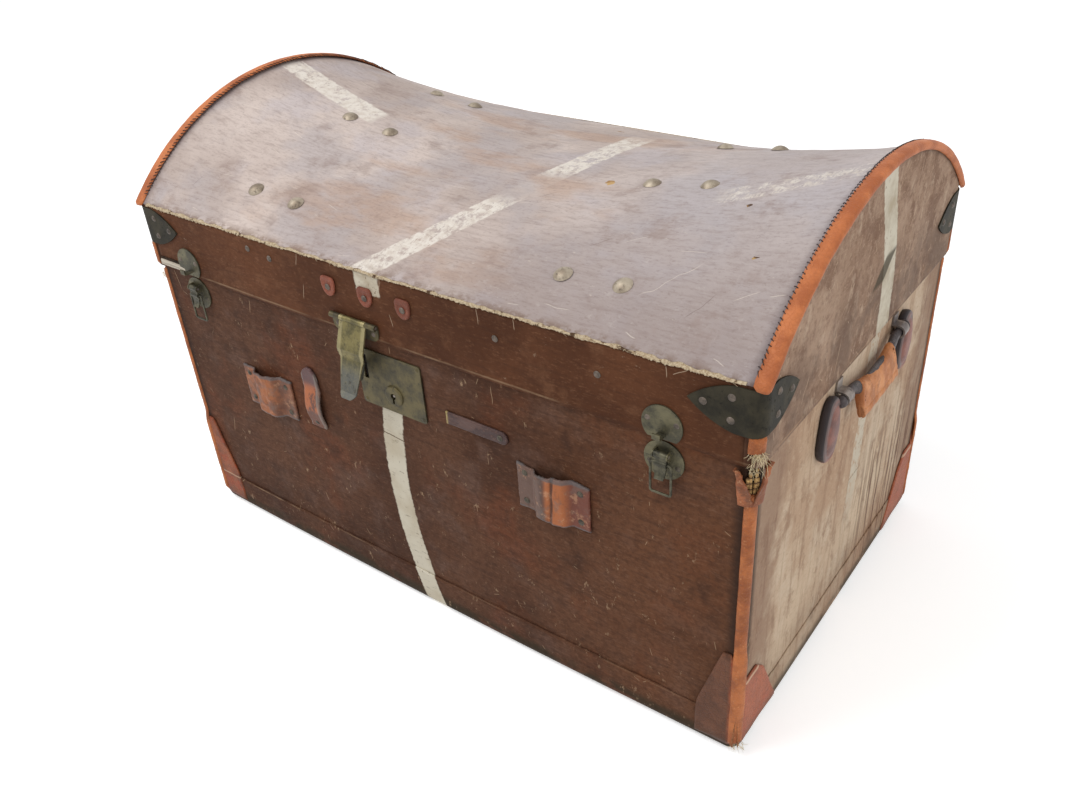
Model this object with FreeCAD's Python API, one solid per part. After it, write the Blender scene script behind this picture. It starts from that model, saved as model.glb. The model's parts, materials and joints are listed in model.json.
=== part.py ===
import FreeCAD, Part
import math
import os

# Saddle-backed dome top trunk: a woven cane body covered in canvas, with leather bindings and brass fittings.
# Millimetres. X runs along the front, Y from front to back, Z up. The origin is on the floor, midway between
# the ends and midway between the front and back edges of the base at its corners.

os.makedirs("parts", exist_ok=True)

V = FreeCAD.Vector
ORIGIN = V(0, 0, 0)
X_AXIS = V(1, 0, 0)
Y_AXIS = V(0, 1, 0)
Z_AXIS = V(0, 0, 1)

# Carcass ---------------------------------------------------------------------------------------
base_length = 800.0        # end to end over the canvas
base_width = 480.0         # front to back over the canvas, at the corners
base_height = 365.0        # floor to the base's top edge
side_bow = 4.0             # how far the front and back belly out at mid length
corner_radius = 12.0       # upright corners, outside
inner_corner = 2.0         # the sharpest that a corner gets towards the inside
foot_radius = 10.0         # turn from the walls to the bottom
canvas = 1.2               # outer canvas
cane_wall = 7.0            # woven cane
lining = 0.8               # inner cloth
hoop = 4.0                 # bent wooden strip inside an edge
hoop_height = 22.0
lip_height = 10.0          # how far the base's hoop stands up inside the lid
lip_end_gap = 26.0         # the lip stops this far from the back face
bottom_lap = 50.0          # upstand of the bottom canvas
seam_gap = 0.5             # daylight between lid and base

# Lid -------------------------------------------------------------------------------------------
lid_overhang = 4.0         # at the front and the ends
rim_height = 79.0          # upright part of the lid
end_rise = 104.0           # dome above the rim at the two ends
mid_rise = 44.0            # dome above the rim at mid length
arch_lap = 14.0            # end canvas turned over on to the dome
batten_x = 211.0           # bent battens inside the dome
batten_width = 88.0
batten_thickness = 5.0
batten_reach = 220.0       # half its span from front to back
stud_pitch = 64.0          # two studs across each batten
stud_rows = (-192.0, -35.0, 122.0)
stud_radius = 9.5
stud_height = 4.6
washer_radius = 7.0
washer_thickness = 1.2
stud_seat = 0.06           # the flat side of a stud's head clears the curved canvas by this much

# Leather ---------------------------------------------------------------------------------------
arch_binding_width = 13.0  # on the dome
arch_binding_depth = 9.0   # down the end
arch_binding_proud = 2.8
arch_welt = 5.0            # stands out past the end
arch_round = 2.4
binding_reach = 12.0       # each way round an upright corner
binding_proud = 2.6
binding_foot = 6.0         # height of the binding's lower end
binding_head = 5.0         # gap under the base's top edge
patch_front = ((46.0, 0.0), (46.0, 55.0), (20.0, 140.0))    # reach from the corner at each height
patch_end = ((85.0, 0.0), (50.0, 86.0), (34.0, 102.0))
patch_proud = 1.5
lid_binding_reach = 13.0
lid_binding_proud = 2.2

# Corner irons ----------------------------------------------------------------------------------
iron_thickness = 1.5
iron_length = 66.0
iron_low = base_height + rim_height - 48.0
iron_high = base_height + rim_height - 3.0

# Lock and hasp ---------------------------------------------------------------------------------
lock_x = -15.0
lock_z = base_height - 51.0
lock_plate_size = (92.0, 70.0, 1.6)
lock_pin_inset = 4.5
slot_x = -50.0
slot_z = base_height - 38.0
slot_size = (6.0, 30.0)
keyhole_x = -12.0
keyhole_z = base_height - 64.0
boss_radius = 12.5
boss_height = 4.0
key_round = 3.6
key_slit = (3.0, 9.0)
case_size = (84.0, 56.0, 20.0)
case_wall = 1.5
bolt_size = (38.0, 5.0, 6.0)
bolt_travel = 7.5
bolt_clearance = 0.3
bolt_depth = 8.0           # middle of the bolt behind the wall's face
rail_length = 11.0
spring_rise = 9.0          # pillar and spring ring above the bolt
pillar_radius = 2.0
hasp_width = 38.0
hasp_tip_width = 23.0
hasp_thickness = 1.6
hasp_pivot_z = base_height + 19.0
hasp_leaf_size = (66.0, 18.0, 1.6)
hasp_leaf_round = 9.0
hasp_knuckle = 3.2
hasp_pin_radius = 1.5
hasp_hang = 20.0           # degrees that the stiff hasp stands out at rest
hasp_joggle = (base_height - 15.0, base_height - 24.0)
hasp_tip_z = base_height - 61.0
hasp_curl = 6.0
staple_size = (4.0, 17.0, 20.0)
staple_eye = (8.0, 9.0)
pin_slack = 0.06           # radial running clearance on every pivot pin

# Draw catches ----------------------------------------------------------------------------------
catch_xs = (70.0 - base_length / 2, base_length / 2 - 85.0)
catch_plate_z = base_height - 23.0
catch_plate_radius = 20.0
catch_plate_thickness = 1.5
catch_pivot = (7.0, base_height - 14.0)     # out from the wall, height
catch_throw = 9.0              # lever pivot to loop pivot
ear_thickness = 1.5
ear_radius = 3.6
lever_width = 12.4
lever_length = 24.0
lever_thickness = 1.6
lever_barrel = 3.2
catch_pin_radius = 1.5
catch_gap = 0.4
loop_wire = 1.2
loop_half_width = 10.4
loop_reach = 33.0
loop_bend = 3.0
strike_z = base_height + 16.0
strike_radius = 20.0
strike_thickness = 1.5
hook_width = 8.0

# Handles ---------------------------------------------------------------------------------------
handle_y = 7.0
handle_axis = (8.0, base_height - 24.0)     # out from the end, height
handle_loop_offset = 74.0
handle_loop_width = 13.0
handle_loop_wall = 2.0
handle_loop_flange = 15.0
neck_radius = 4.6
neck_slack = 0.6
neck_end = 86.0
handle_bow = 15.0
pad_length = 92.0
pad_reach = (-1.0, 33.0)        # from the loops' axis, upper and lower edge
pad_dip = 7.0                  # how far the upper edge curves in at its middle
pad_thickness = 10.6
pad_edge = 2.6
handle_droop = 76.0            # hangs this far below level
chape_length = 52.0
chape_width = 33.0
chape_thickness = 10.0
chape_round = 4.0
chape_edge = 3.6
chape_lean = 2.0
chape_drop_below = 8.0
chape_gap = 1.0              # between a lobe and the loop's flange

# Front straps ----------------------------------------------------------------------------------
keeper_left_x = -0.29 * base_length
keeper_left_z = base_height - 132.0
keeper_right_x = 0.24 * base_length
keeper_right_z = base_height - 115.0
keeper_size = (86.0, 55.0, 3.0)
keeper_tunnel = (46.0, 8.0)
stub_x = keeper_left_x + 82.0
stub_z = base_height - 113.0
stub_size = (24.0, 80.0, 4.0)
tab_x = base_length / 8
tab_z = base_height - 66.0
tab_size = (80.0, 15.0, 3.0)
leather_washer_x = (-81.0, -28.0, 24.0)
leather_washer_z = base_height + rim_height - 29.0
leather_washer_size = (20.0, 23.0, 2.4)
rim_nails = ((-172.0, 60.0), (-207.0, 64.0), (138.0, 50.0), (250.0, 46.0))   # across, above the base

# Hinges ----------------------------------------------------------------------------------------
hinge_x = 0.3 * base_length
hinge_width = 50.0
hinge_leaf_height = 56.0
hinge_leaf_thickness = 2.0
hinge_knuckle = 4.5
hinge_pin_radius = 2.2
hinge_segments = 5
hinge_segment_gap = 0.3

# Fasteners -------------------------------------------------------------------------------------
rivet_head = 3.6
rivet_dome = 1.7
rivet_shank = 1.5
rivet_grip = 6.0

# Derived planes and plans ----------------------------------------------------------------------
base_plan = (base_length, base_width, 0.0)
lid_length = base_length + 2 * lid_overhang
lid_width = base_width + lid_overhang
lid_mid_y = -lid_overhang / 2
lid_plan = (lid_length, lid_width, lid_mid_y)
lid_low = base_height + seam_gap
rim_top = base_height + rim_height
shell = canvas + cane_wall + lining
clear_height = rim_top + end_rise + 40


# ------------------------------------------------------------------------------------------ shapes
def box(low, high):
    size = V(*high) - V(*low)
    return Part.makeBox(size.x, size.y, size.z, V(*low))


def rod(radius, start, end):
    way = V(*end) - V(*start)
    return Part.makeCylinder(radius, way.Length, V(*start), way)


def prism(points, way):
    """Straight-sided outline carried along a vector."""
    return Part.Face(Part.makePolygon([V(*p) for p in points] + [V(*points[0])])).extrude(V(*way))


def outline_prism(edges, way):
    return Part.Face(Part.Wire(Part.__sortEdges__(edges))).extrude(V(*way))


def arc(a, b, c):
    return Part.Arc(V(*a), V(*b), V(*c)).toShape()


def line(a, b):
    return Part.LineSegment(V(*a), V(*b)).toShape()


def fuse(shapes):
    joined = shapes[0].fuse(shapes[1:]) if len(shapes) > 1 else shapes[0]
    return joined.removeSplitter()


def export(name, shapes):
    """Write one node: a single solid, or a group of separate ones."""
    solids = [s for shape in shapes for s in shape.Solids]
    whole = solids[0] if len(solids) == 1 else Part.makeCompound(solids)
    whole.exportStep(os.path.join("parts", name + ".step"))


def upright_edges(shape):
    found = []
    for edge in shape.Edges:
        a = edge.Vertexes[0].Point
        b = edge.Vertexes[-1].Point
        if abs(a.x - b.x) < 1e-6 and abs(a.y - b.y) < 1e-6 and abs(a.z - b.z) > 1e-3:
            found.append(edge)
    return found


def edge_at(shape, middle):
    """The edge whose middle is nearest a point."""
    return min(shape.Edges, key=lambda e: (e.CenterOfMass - V(*middle)).Length)


def edges_at_height(shape, z):
    return [e for e in shape.Edges if all(abs(v.Z - z) < 1e-6 for v in e.Vertexes)]


def bow_radius(length):
    return (length ** 2 / 4 + side_bow ** 2) / (2 * side_bow)


def bow_at(x, length):
    """How far the bowed side stands out at x, zero at the corners."""
    radius = bow_radius(length)
    return side_bow - radius + math.sqrt(radius ** 2 - x ** 2)


def walled_block(plan, inset, low, high, end_inset=None):
    """Block with bowed front and back and rounded upright corners, set in from the canvas face."""
    ends = inset if end_inset is None else end_inset
    length, width, mid = plan
    half = length / 2 - ends
    front = mid - width / 2 + inset
    back = mid + width / 2 - inset
    edges = [
        arc((-half, front, low), (0, front - side_bow, low), (half, front, low)),
        line((half, front, low), (half, back, low)),
        arc((half, back, low), (0, back + side_bow, low), (-half, back, low)),
        line((-half, back, low), (-half, front, low)),
    ]
    block = outline_prism(edges, (0, 0, high - low))
    return block.makeFillet(max(corner_radius - max(inset, ends), inner_corner), upright_edges(block))


def tub(inset, low, high):
    """Base-shaped block with a rounded foot."""
    block = walled_block(base_plan, inset, low, high)
    return block.makeFillet(foot_radius - inset, edges_at_height(block, low))


def dome_section(x):
    """Half width, circle radius and circle centre height of the dome's cross-section at x."""
    share = (2 * x / lid_length) ** 2
    half = lid_width / 2 + side_bow * (1 - share)
    rise = mid_rise + (end_rise - mid_rise) * share
    radius = (half * half + rise * rise) / (2 * rise)
    return half, radius, rim_top + rise - radius


def dome_block(inset):
    """Everything under the sunk saddle, as a loft of arcs that flatten towards mid length."""
    wires = []
    stations = 7
    reach = lid_length / 2 + 22
    for i in range(stations):
        x = -reach + 2 * reach * i / (stations - 1)
        half, radius, centre = dome_section(x)
        radius -= inset
        wide = half + 16
        side = centre + math.sqrt(radius ** 2 - wide ** 2)
        low = base_height - 40
        y0 = lid_mid_y - wide
        y1 = lid_mid_y + wide
        wires.append(Part.Wire([
            arc((x, y0, side), (x, lid_mid_y, centre + radius), (x, y1, side)),
            line((x, y1, side), (x, y1, low)),
            line((x, y1, low), (x, y0, low)),
            line((x, y0, low), (x, y0, side)),
        ]))
    return Part.makeLoft(wires, True, False)


def lid_block(inset, low, end_inset=None):
    return walled_block(lid_plan, inset, low, clear_height, end_inset).common(dome_block(inset))


def dome_height(x, y):
    half, radius, centre = dome_section(x)
    return centre + math.sqrt(radius ** 2 - (y - lid_mid_y) ** 2)


def dome_normal(x, y):
    step = 0.5
    slope_x = (dome_height(x + step, y) - dome_height(x - step, y)) / (2 * step)
    slope_y = (dome_height(x, y + step) - dome_height(x, y - step)) / (2 * step)
    return V(-slope_x, -slope_y, 1).normalize()


# --------------------------------------------------------------------------------------- placing
def front_wall(plan, x):
    """Point on the front canvas at x, and the wall's turn about Z there in degrees."""
    length, width, mid = plan
    return mid - width / 2 - bow_at(x, length), math.degrees(math.asin(x / bow_radius(length)))


def on_front(shape, plan, x):
    """Seat a fitting drawn with +Y out of the wall and X along it; heights stay as drawn."""
    y, turn = front_wall(plan, x)
    placed = shape.copy()
    placed.rotate(ORIGIN, Z_AXIS, 180)
    placed.rotate(ORIGIN, Z_AXIS, turn)
    placed.translate(V(x, y, 0))
    return placed


def on_end(shape, side):
    """Seat a fitting drawn with +X out of the right end; side is 1 for right and -1 for left."""
    placed = shape.copy()
    placed.translate(V(base_length / 2, 0, 0))
    return placed if side > 0 else placed.mirror(ORIGIN, X_AXIS)


def lid_step(x):
    """How far the lid's front face stands out past the base's at x."""
    return front_wall(base_plan, x)[0] - front_wall(lid_plan, x)[0]


def rivet(head=rivet_head, dome=rivet_dome, shank=rivet_shank, grip=rivet_grip):
    """Rivet along +Z whose head is a cap of a ball, with its flat side at zero."""
    ball = (head ** 2 + dome ** 2) / (2 * dome)
    half_way = math.asin(head / ball) / 2
    crown = (ball * math.sin(half_way), 0, dome - ball + ball * math.cos(half_way))
    profile = [
        line((0, 0, -grip), (shank, 0, -grip)),
        line((shank, 0, -grip), (shank, 0, 0)),
        line((shank, 0, 0), (head, 0, 0)),
        arc((head, 0, 0), crown, (0, 0, dome)),
        line((0, 0, dome), (0, 0, -grip)),
    ]
    return Part.Face(Part.Wire(profile)).revolve(ORIGIN, Z_AXIS, 360)


def aim(shape, point, way):
    """Move a shape drawn along +Z to a point and turn it along a vector."""
    placed = shape.copy()
    turn = FreeCAD.Rotation(Z_AXIS, V(*way))
    placed.Placement = FreeCAD.Placement(V(*point), turn).multiply(placed.Placement)
    return placed


def shank_hole(point, way, radius=rivet_shank, depth=rivet_grip, out=30.0):
    way = V(*way)
    way.normalize()
    start = V(*point) - way * depth
    return Part.makeCylinder(radius, depth + out, start, way)


class Fasteners:
    """Rivets of one kind with the holes that they need."""

    def __init__(self):
        self.solids = []
        self.holes = []

    def add(self, point, way, head=rivet_head, dome=rivet_dome, shank=rivet_shank, grip=rivet_grip):
        self.solids.append(aim(rivet(head, dome, shank, grip), point, way))
        self.holes.append(shank_hole(point, way, shank, grip))

    def drill(self, shape):
        near = [h for h in self.holes if h.BoundBox.intersect(shape.BoundBox)]
        return shape.cut(Part.makeCompound(near)) if near else shape


base_rivets = Fasteners()
lid_rivets = Fasteners()
lock_pins = Fasteners()
dome_studs = Fasteners()


def rivet_front(group, plan, x, z, out, across=0.0, **size):
    """Rivet at `across` from the middle of a fitting seated at x, whose face stands `out` from the wall."""
    y, turn = front_wall(plan, x)
    lean = math.radians(turn)
    way = V(math.sin(lean), -math.cos(lean), 0)
    along = V(math.cos(lean), math.sin(lean), 0)
    point = V(x, y, z) + way * out + along * across
    group.add(tuple(point), tuple(way), **size)


def rivet_end(group, side, y, z, out, half=base_length / 2, **size):
    group.add((side * (half + out), y, z), (side, 0, 0), **size)


def corner_region(reach, low, high, sx, sy, plan, margin=12.0):
    """Box round one upright corner."""
    length, width, mid = plan
    x0 = length / 2 - reach
    x1 = length / 2 + margin
    y0 = width / 2 - reach
    y1 = width / 2 + margin
    region = box((x0, y0, low), (x1, y1, high))
    if sx < 0:
        region = region.mirror(ORIGIN, X_AXIS)
    if sy < 0:
        region = region.mirror(ORIGIN, Y_AXIS)
    region.translate(V(0, mid, 0))
    return region


CORNERS = [(sx, sy) for sy in (-1, 1) for sx in (-1, 1)]

# ------------------------------------------------------------------------------------- base shell
floor_low = canvas
wall_block = tub(0, floor_low, base_height)
cane_block = tub(canvas, floor_low + canvas, base_height)
lining_block = tub(canvas + cane_wall, floor_low + canvas + cane_wall, base_height)
hollow_block = tub(shell, floor_low + shell, base_height)
lap_block = tub(-canvas, 0, bottom_lap)

base_canvas = wall_block.cut(cane_block)
base_basket = cane_block.cut(lining_block)
base_lining = lining_block.cut(hollow_block)
base_bottom_canvas = lap_block.cut(wall_block)

hoop_outer = walled_block(base_plan, shell, base_height - hoop_height, base_height + lip_height)
hoop_inner = walled_block(base_plan, shell + hoop, base_height - hoop_height, base_height + lip_height)
back_cut = box((-base_length, base_width / 2 - lip_end_gap, base_height),
               (base_length, base_width, base_height + 2 * lip_height))
base_hoop = hoop_outer.cut(hoop_inner).cut(back_cut)

# ------------------------------------------------------------------------------ base corner leather
carcass = fuse([wall_block, lap_block])
patch_top = max(patch_front[-1][1], patch_end[-1][1])
patch_shell = walled_block(base_plan, -canvas - patch_proud, floor_low + foot_radius, patch_top)
patch_shell = patch_shell.cut(carcass)


def corner_patch():
    """Leather wrapped round the front right bottom corner: a tall leaf on the front, a wide one on the end."""
    x = base_length / 2
    y = base_width / 2
    beyond = 12
    front = [(x - reach, -y - beyond, z) for reach, z in patch_front]
    front += [(x + beyond, -y - beyond, patch_front[-1][1]), (x + beyond, -y - beyond, 0)]
    end = [(x - corner_radius, -y + reach, z) for reach, z in patch_end]
    end += [(x - corner_radius, -y - beyond, patch_end[-1][1]), (x - corner_radius, -y - beyond, 0)]
    front_leaf = prism(front, (0, beyond + corner_radius, 0))
    end_leaf = prism(end, (beyond + corner_radius, 0, 0))
    return patch_shell.common(front_leaf.fuse(end_leaf))


def at_corner(shape, sx, sy, mid_y=0.0):
    """Copy of a front right corner piece at another corner."""
    placed = shape.copy()
    if sx < 0:
        placed = placed.mirror(ORIGIN, X_AXIS)
    if sy > 0:
        placed = placed.mirror(V(0, mid_y, 0), Y_AXIS)
    return placed


front_right_patch = corner_patch()
corner_patches = [at_corner(front_right_patch, sx, sy) for sx, sy in CORNERS]
binding_top = base_height - binding_head
binding_shell = fuse([
    walled_block(base_plan, -binding_proud, binding_foot + foot_radius, binding_top),
    walled_block(base_plan, -canvas - patch_proud - binding_proud + 1, binding_foot + foot_radius,
                 patch_top + 6),
])
binding_shell = binding_shell.cut(carcass)


def corner_binding(sx, sy, patch):
    region = corner_region(binding_reach, binding_foot, binding_top, sx, sy, base_plan)
    return binding_shell.common(region).cut(patch)


corner_bindings = [corner_binding(sx, sy, p) for (sx, sy), p in zip(CORNERS, corner_patches)]

# --------------------------------------------------------------------------------------- lid shell
lid_outer = lid_block(0, lid_low)
lid_cane = lid_block(canvas, lid_low - 1)
lid_lined = lid_block(canvas + cane_wall, lid_low - 1)
lid_hollow = lid_block(shell, lid_low - 1)
trim_low = box((-base_length, -base_width, lid_low), (base_length, base_width, clear_height))

lid_skin = lid_outer.cut(lid_cane)
lid_basket = lid_cane.cut(lid_lined).common(trim_low)
lid_lining = lid_lined.cut(lid_hollow).common(trim_low)
lap_x = lid_length / 2 - arch_lap
between_laps_high = box((-lap_x, -base_width, rim_top), (lap_x, base_width, clear_height))
between_laps_low = box((-lap_x, -base_width, lid_low), (lap_x, base_width, rim_top))
dome_canvas = lid_skin.common(between_laps_high)
rim_canvas = lid_skin.common(between_laps_low)
past_lap = box((lap_x, -base_width, lid_low), (base_length, base_width, clear_height))
end_canvas_right = lid_skin.common(past_lap)
end_canvas_left = end_canvas_right.mirror(ORIGIN, X_AXIS)

lid_hoop = walled_block(lid_plan, shell, lid_low, lid_low + hoop_height)
lid_hoop = lid_hoop.cut(walled_block(lid_plan, shell + hoop, lid_low, lid_low + hoop_height))

batten_inner = lid_block(shell + batten_thickness, lid_low - 1)
batten_band = box((batten_x - batten_width / 2, lid_mid_y - batten_reach, rim_top - 4),
                  (batten_x + batten_width / 2, lid_mid_y + batten_reach, clear_height))
batten_right = lid_hollow.cut(batten_inner).common(batten_band)
batten_left = batten_right.mirror(ORIGIN, X_AXIS)


# ------------------------------------------------------------------------------------ arch binding
def arch_binding():
    """Leather welt along the high end of the dome, rounded over and standing out past the end."""
    block = lid_block(-arch_binding_proud, rim_top - 6, -arch_welt)
    face_x = lid_length / 2 + arch_welt
    rim = [e for e in block.Edges
           if all(abs(v.X - face_x) < 1e-3 for v in e.Vertexes) and e.Length > base_width
           and e.BoundBox.ZMax > rim_top + end_rise / 2]
    block = block.makeFillet(arch_round, rim)
    half, radius, centre = dome_section(lid_length / 2)
    face_low = rim_top - 60
    opening = Part.makeCylinder(radius - arch_binding_depth, 60, V(lid_length / 2, lid_mid_y, centre), X_AXIS)
    keep = box((lid_length / 2 - arch_binding_width, -base_width, rim_top - 6),
               (base_length, base_width, clear_height))
    below = box((lid_length / 2, -base_width, face_low), (base_length, base_width, rim_top - 6))
    return block.common(keep).cut(lid_outer).cut(opening).cut(below)


# ------------------------------------------------------------------------------------ corner irons
iron_shell = walled_block(lid_plan, -iron_thickness, iron_low, iron_high)
iron_shell = iron_shell.cut(walled_block(lid_plan, 0, iron_low, iron_high))
iron_mid = (iron_low + iron_high) / 2
end_x = lid_length / 2
front_y = lid_mid_y - lid_width / 2


def iron_leaf(start, tip, out_start, out_end, along):
    """Pointed leaf outline from a corner to its tip, carried through the wall."""
    low = iron_low
    high = iron_high
    quarter = start + (tip - start) * 0.62
    if along == "x":
        pts = [(start, out_start, low), (quarter, out_start, low + 4), (tip, out_start, iron_mid),
               (quarter, out_start, high - 4), (start, out_start, high)]
        way = (0, out_end - out_start, 0)
    else:
        pts = [(out_start, start, low), (out_start, quarter, low + 4), (out_start, tip, iron_mid),
               (out_start, quarter, high - 4), (out_start, start, high)]
        way = (out_end - out_start, 0, 0)
    return outline_prism([arc(*pts[0:3]), arc(*pts[2:5]), line(pts[4], pts[0])], way)


def corner_iron():
    """Front right corner: a leaf on the rim and a leaf on the end, bent round the corner."""
    before = front_y - side_bow - 6
    front_leaf = iron_leaf(end_x + 9, end_x - iron_length, before, front_y + corner_radius, "x")
    end_leaf = iron_leaf(front_y - 9, front_y + iron_length, end_x - corner_radius, end_x + 9, "y")
    leaves = front_leaf.fuse(end_leaf)
    return iron_shell.common(leaves)


iron_front_right = corner_iron()
iron_span = lid_length + 2 * iron_thickness
irons = []
for sx, sy in CORNERS:
    irons.append(at_corner(iron_front_right, sx, sy, lid_mid_y))
    for along, dz in ((0.40, 11), (0.40, -11), (0.78, 0)):
        x = sx * (end_x - iron_length * along)
        lean = math.asin(x / bow_radius(iron_span))
        way = V(math.sin(lean), sy * math.cos(lean), 0)
        face = lid_width / 2 + iron_thickness + bow_at(x, iron_span)
        lid_rivets.add((x, lid_mid_y + sy * face, iron_mid + dz), tuple(way))
        y = lid_mid_y + sy * (lid_width / 2 - iron_length * along)
        lid_rivets.add((sx * (end_x + iron_thickness), y, iron_mid + dz), (sx, 0, 0))

arch_binding_right = arch_binding().cut(Part.makeCompound([irons[1], irons[3]]))
arch_binding_left = arch_binding_right.mirror(ORIGIN, X_AXIS)

lid_binding_shell = walled_block(lid_plan, -lid_binding_proud, lid_low + 1, iron_low - 0.5)
lid_binding_shell = lid_binding_shell.cut(walled_block(lid_plan, 0, lid_low, iron_low))
lid_corner_bindings = [
    lid_binding_shell.common(corner_region(lid_binding_reach, lid_low + 1, iron_low - 0.5, sx, sy, lid_plan))
    for sx, sy in CORNERS
]

# -------------------------------------------------------------------------------------- dome studs
stud_washers = []
stud_grip = shell + batten_thickness + washer_thickness + 0.6
for side in (-1, 1):
    for row in stud_rows:
        for across in (-0.5, 0.5):
            x = side * batten_x + across * stud_pitch
            way = dome_normal(x, row)
            point = V(x, row, dome_height(x, row)) + way * stud_seat
            dome_studs.add(tuple(point), tuple(way), stud_radius, stud_height, 2.5, stud_grip)
            inner = point - way * (shell + batten_thickness + 0.35)
            disc = Part.makeCylinder(washer_radius, washer_thickness, inner - way * washer_thickness, way)
            stud_washers.append(disc.cut(shank_hole(tuple(point), tuple(way), 2.5, stud_grip)))


# -------------------------------------------------------------------------------------------- lock
def lock_plate():
    """Brass face plate with the staple's slot, a raised keyhole boss and four pin holes."""
    wide, high, thick = lock_plate_size
    plate = box((lock_x - wide / 2, 0, lock_z - high / 2), (lock_x + wide / 2, thick, lock_z + high / 2))
    plate = plate.makeFillet(3, [e for e in plate.Edges if abs(e.Vertexes[0].X - e.Vertexes[1].X) < 1e-6
                                 and abs(e.Vertexes[0].Z - e.Vertexes[1].Z) < 1e-6])
    boss = Part.makeCylinder(boss_radius, boss_height, V(keyhole_x, 0, keyhole_z), Y_AXIS)
    boss = boss.makeFillet(2.2, [e for e in boss.Edges if e.BoundBox.YMin > boss_height - 0.01])
    keyhole = fuse([
        rod(key_round, (keyhole_x, -40, keyhole_z), (keyhole_x, 20, keyhole_z)),
        box((keyhole_x - key_slit[0] / 2, -40, keyhole_z - key_slit[1]),
            (keyhole_x + key_slit[0] / 2, 20, keyhole_z)),
    ])
    slot = box((slot_x - slot_size[0] / 2, -5, slot_z - slot_size[1] / 2),
               (slot_x + slot_size[0] / 2, 20, slot_z + slot_size[1] / 2))
    return fuse([plate, boss]).cut(keyhole).cut(slot)


def lock_local(shape):
    """The lock is drawn at its true X with +Y out of the wall; seat it on the front."""
    y, turn = front_wall(base_plan, lock_x)
    placed = shape.mirror(ORIGIN, Y_AXIS)
    placed.rotate(V(lock_x, 0, 0), Z_AXIS, turn)
    placed.translate(V(0, y, 0))
    return placed


pillar_x = lock_x + case_size[0] / 2 - case_wall - 8


def lock_case():
    """Pressed box behind the wall, with the bolt's rails and the spring's pillar."""
    wide, high, deep = case_size
    outer = box((lock_x - wide / 2, -deep, lock_z - high / 2), (lock_x + wide / 2, 0, lock_z + high / 2))
    inner = box((lock_x - wide / 2 + case_wall, -deep + case_wall, lock_z - high / 2 + case_wall),
                (lock_x + wide / 2 - case_wall, 0, lock_z + high / 2 - case_wall))
    case = outer.cut(inner)
    rail_left = slot_x + slot_size[0] / 2 + 5
    bolt_half = bolt_size[2] / 2 + bolt_clearance
    pillar_z = slot_z + spring_rise
    rails = []
    for sign in (1, -1):
        z0 = slot_z + sign * bolt_half
        z1 = z0 + sign * 3
        rails.append(box((rail_left, -deep + case_wall, min(z0, z1)), (rail_left + rail_length, -3, max(z0, z1))))
    pillar = rod(pillar_radius, (pillar_x, -deep + case_wall, pillar_z), (pillar_x, -1, pillar_z))
    return fuse([case, pillar] + rails)


def lock_bolt():
    """Sliding bolt: a bar that passes the staple's eye and a tail with a notch for the key."""
    long, deep, high = bolt_size
    tip = slot_x + staple_size[0] / 2 + 2
    mid = -bolt_depth
    bar = box((tip, mid - deep / 2, slot_z - high / 2), (tip + long, mid + deep / 2, slot_z + high / 2))
    tail = box((tip + long - 14, mid - deep / 2, slot_z - high / 2 - 4), (tip + long, mid + deep / 2, slot_z))
    notch_x = tip + long - 7
    notch_z = slot_z - high / 2 - 4
    notch = rod(2.6, (notch_x, mid - deep, notch_z), (notch_x, mid + deep, notch_z))
    return fuse([bar, tail]).cut(notch)


def lock_spring():
    """Leaf spring over the bolt, held round the pillar."""
    deep = bolt_size[1]
    near = -bolt_depth - deep / 2
    far = near + deep
    x = pillar_x
    z = slot_z + spring_rise
    low = slot_z + bolt_size[2] / 2 + bolt_clearance
    hole = rod(pillar_radius, (x, near - 2, z), (x, far + 2, z))
    ring = rod(pillar_radius + 1, (x, near, z), (x, far, z))
    leaf = outline_prism([
        arc((x - 26, near, low), (x - 12, near, low + 0.9), (x - 1, near, z - 2.9)),
        line((x - 1, near, z - 2.9), (x - 1, near, z - 2.2)),
        arc((x - 1, near, z - 2.2), (x - 12, near, low + 1.6), (x - 26, near, low + 0.6)),
        line((x - 26, near, low + 0.6), (x - 26, near, low)),
    ], (0, deep, 0))
    return fuse([ring, leaf]).cut(hole)


pocket_x = case_size[0] / 2 + 0.2
pocket_z = case_size[1] / 2 + 0.2
lock_pocket = lock_local(box((lock_x - pocket_x, -case_size[2] - 0.2, lock_z - pocket_z),
                             (lock_x + pocket_x, 0.5, lock_z + pocket_z)))
wide, high, thick = lock_plate_size
for sx in (-1, 1):
    for sz in (-1, 1):
        rivet_front(lock_pins, base_plan, lock_x, lock_z + sz * (high / 2 - lock_pin_inset), thick,
                    across=sx * (wide / 2 - lock_pin_inset), head=2.6, dome=1.1, shank=1.0)
drill_pin = rod(1.5, (keyhole_x, -case_size[2] + case_wall, keyhole_z), (keyhole_x, 2.5, keyhole_z))

# -------------------------------------------------------------------------------------------- hasp
hasp_lid_y = lid_step(slot_x)
hasp_pivot_out = hasp_lid_y + hasp_knuckle + 0.2


def hasp_profile():
    """Side outline of the strap, hanging closed: straight, joggled in over the lock, curled at the tip."""
    out = hasp_pivot_out
    near = lock_plate_size[2] + 0.7
    half = hasp_thickness / 2
    z_pivot = hasp_pivot_z
    z0, z1 = hasp_joggle
    tip = hasp_tip_z
    back = [(0, out - half, z_pivot), (0, out - half, z0), (0, near, z1), (0, near, tip),
            (0, near + hasp_curl * 0.5, tip - hasp_curl)]
    front = [(0, near + hasp_curl * 0.5 + hasp_thickness, tip - hasp_curl + 0.6),
             (0, near + hasp_thickness, tip + 1), (0, near + hasp_thickness, z1 + 0.8),
             (0, out + half, z0 + 0.8), (0, out + half, z_pivot)]
    return back + front


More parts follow.
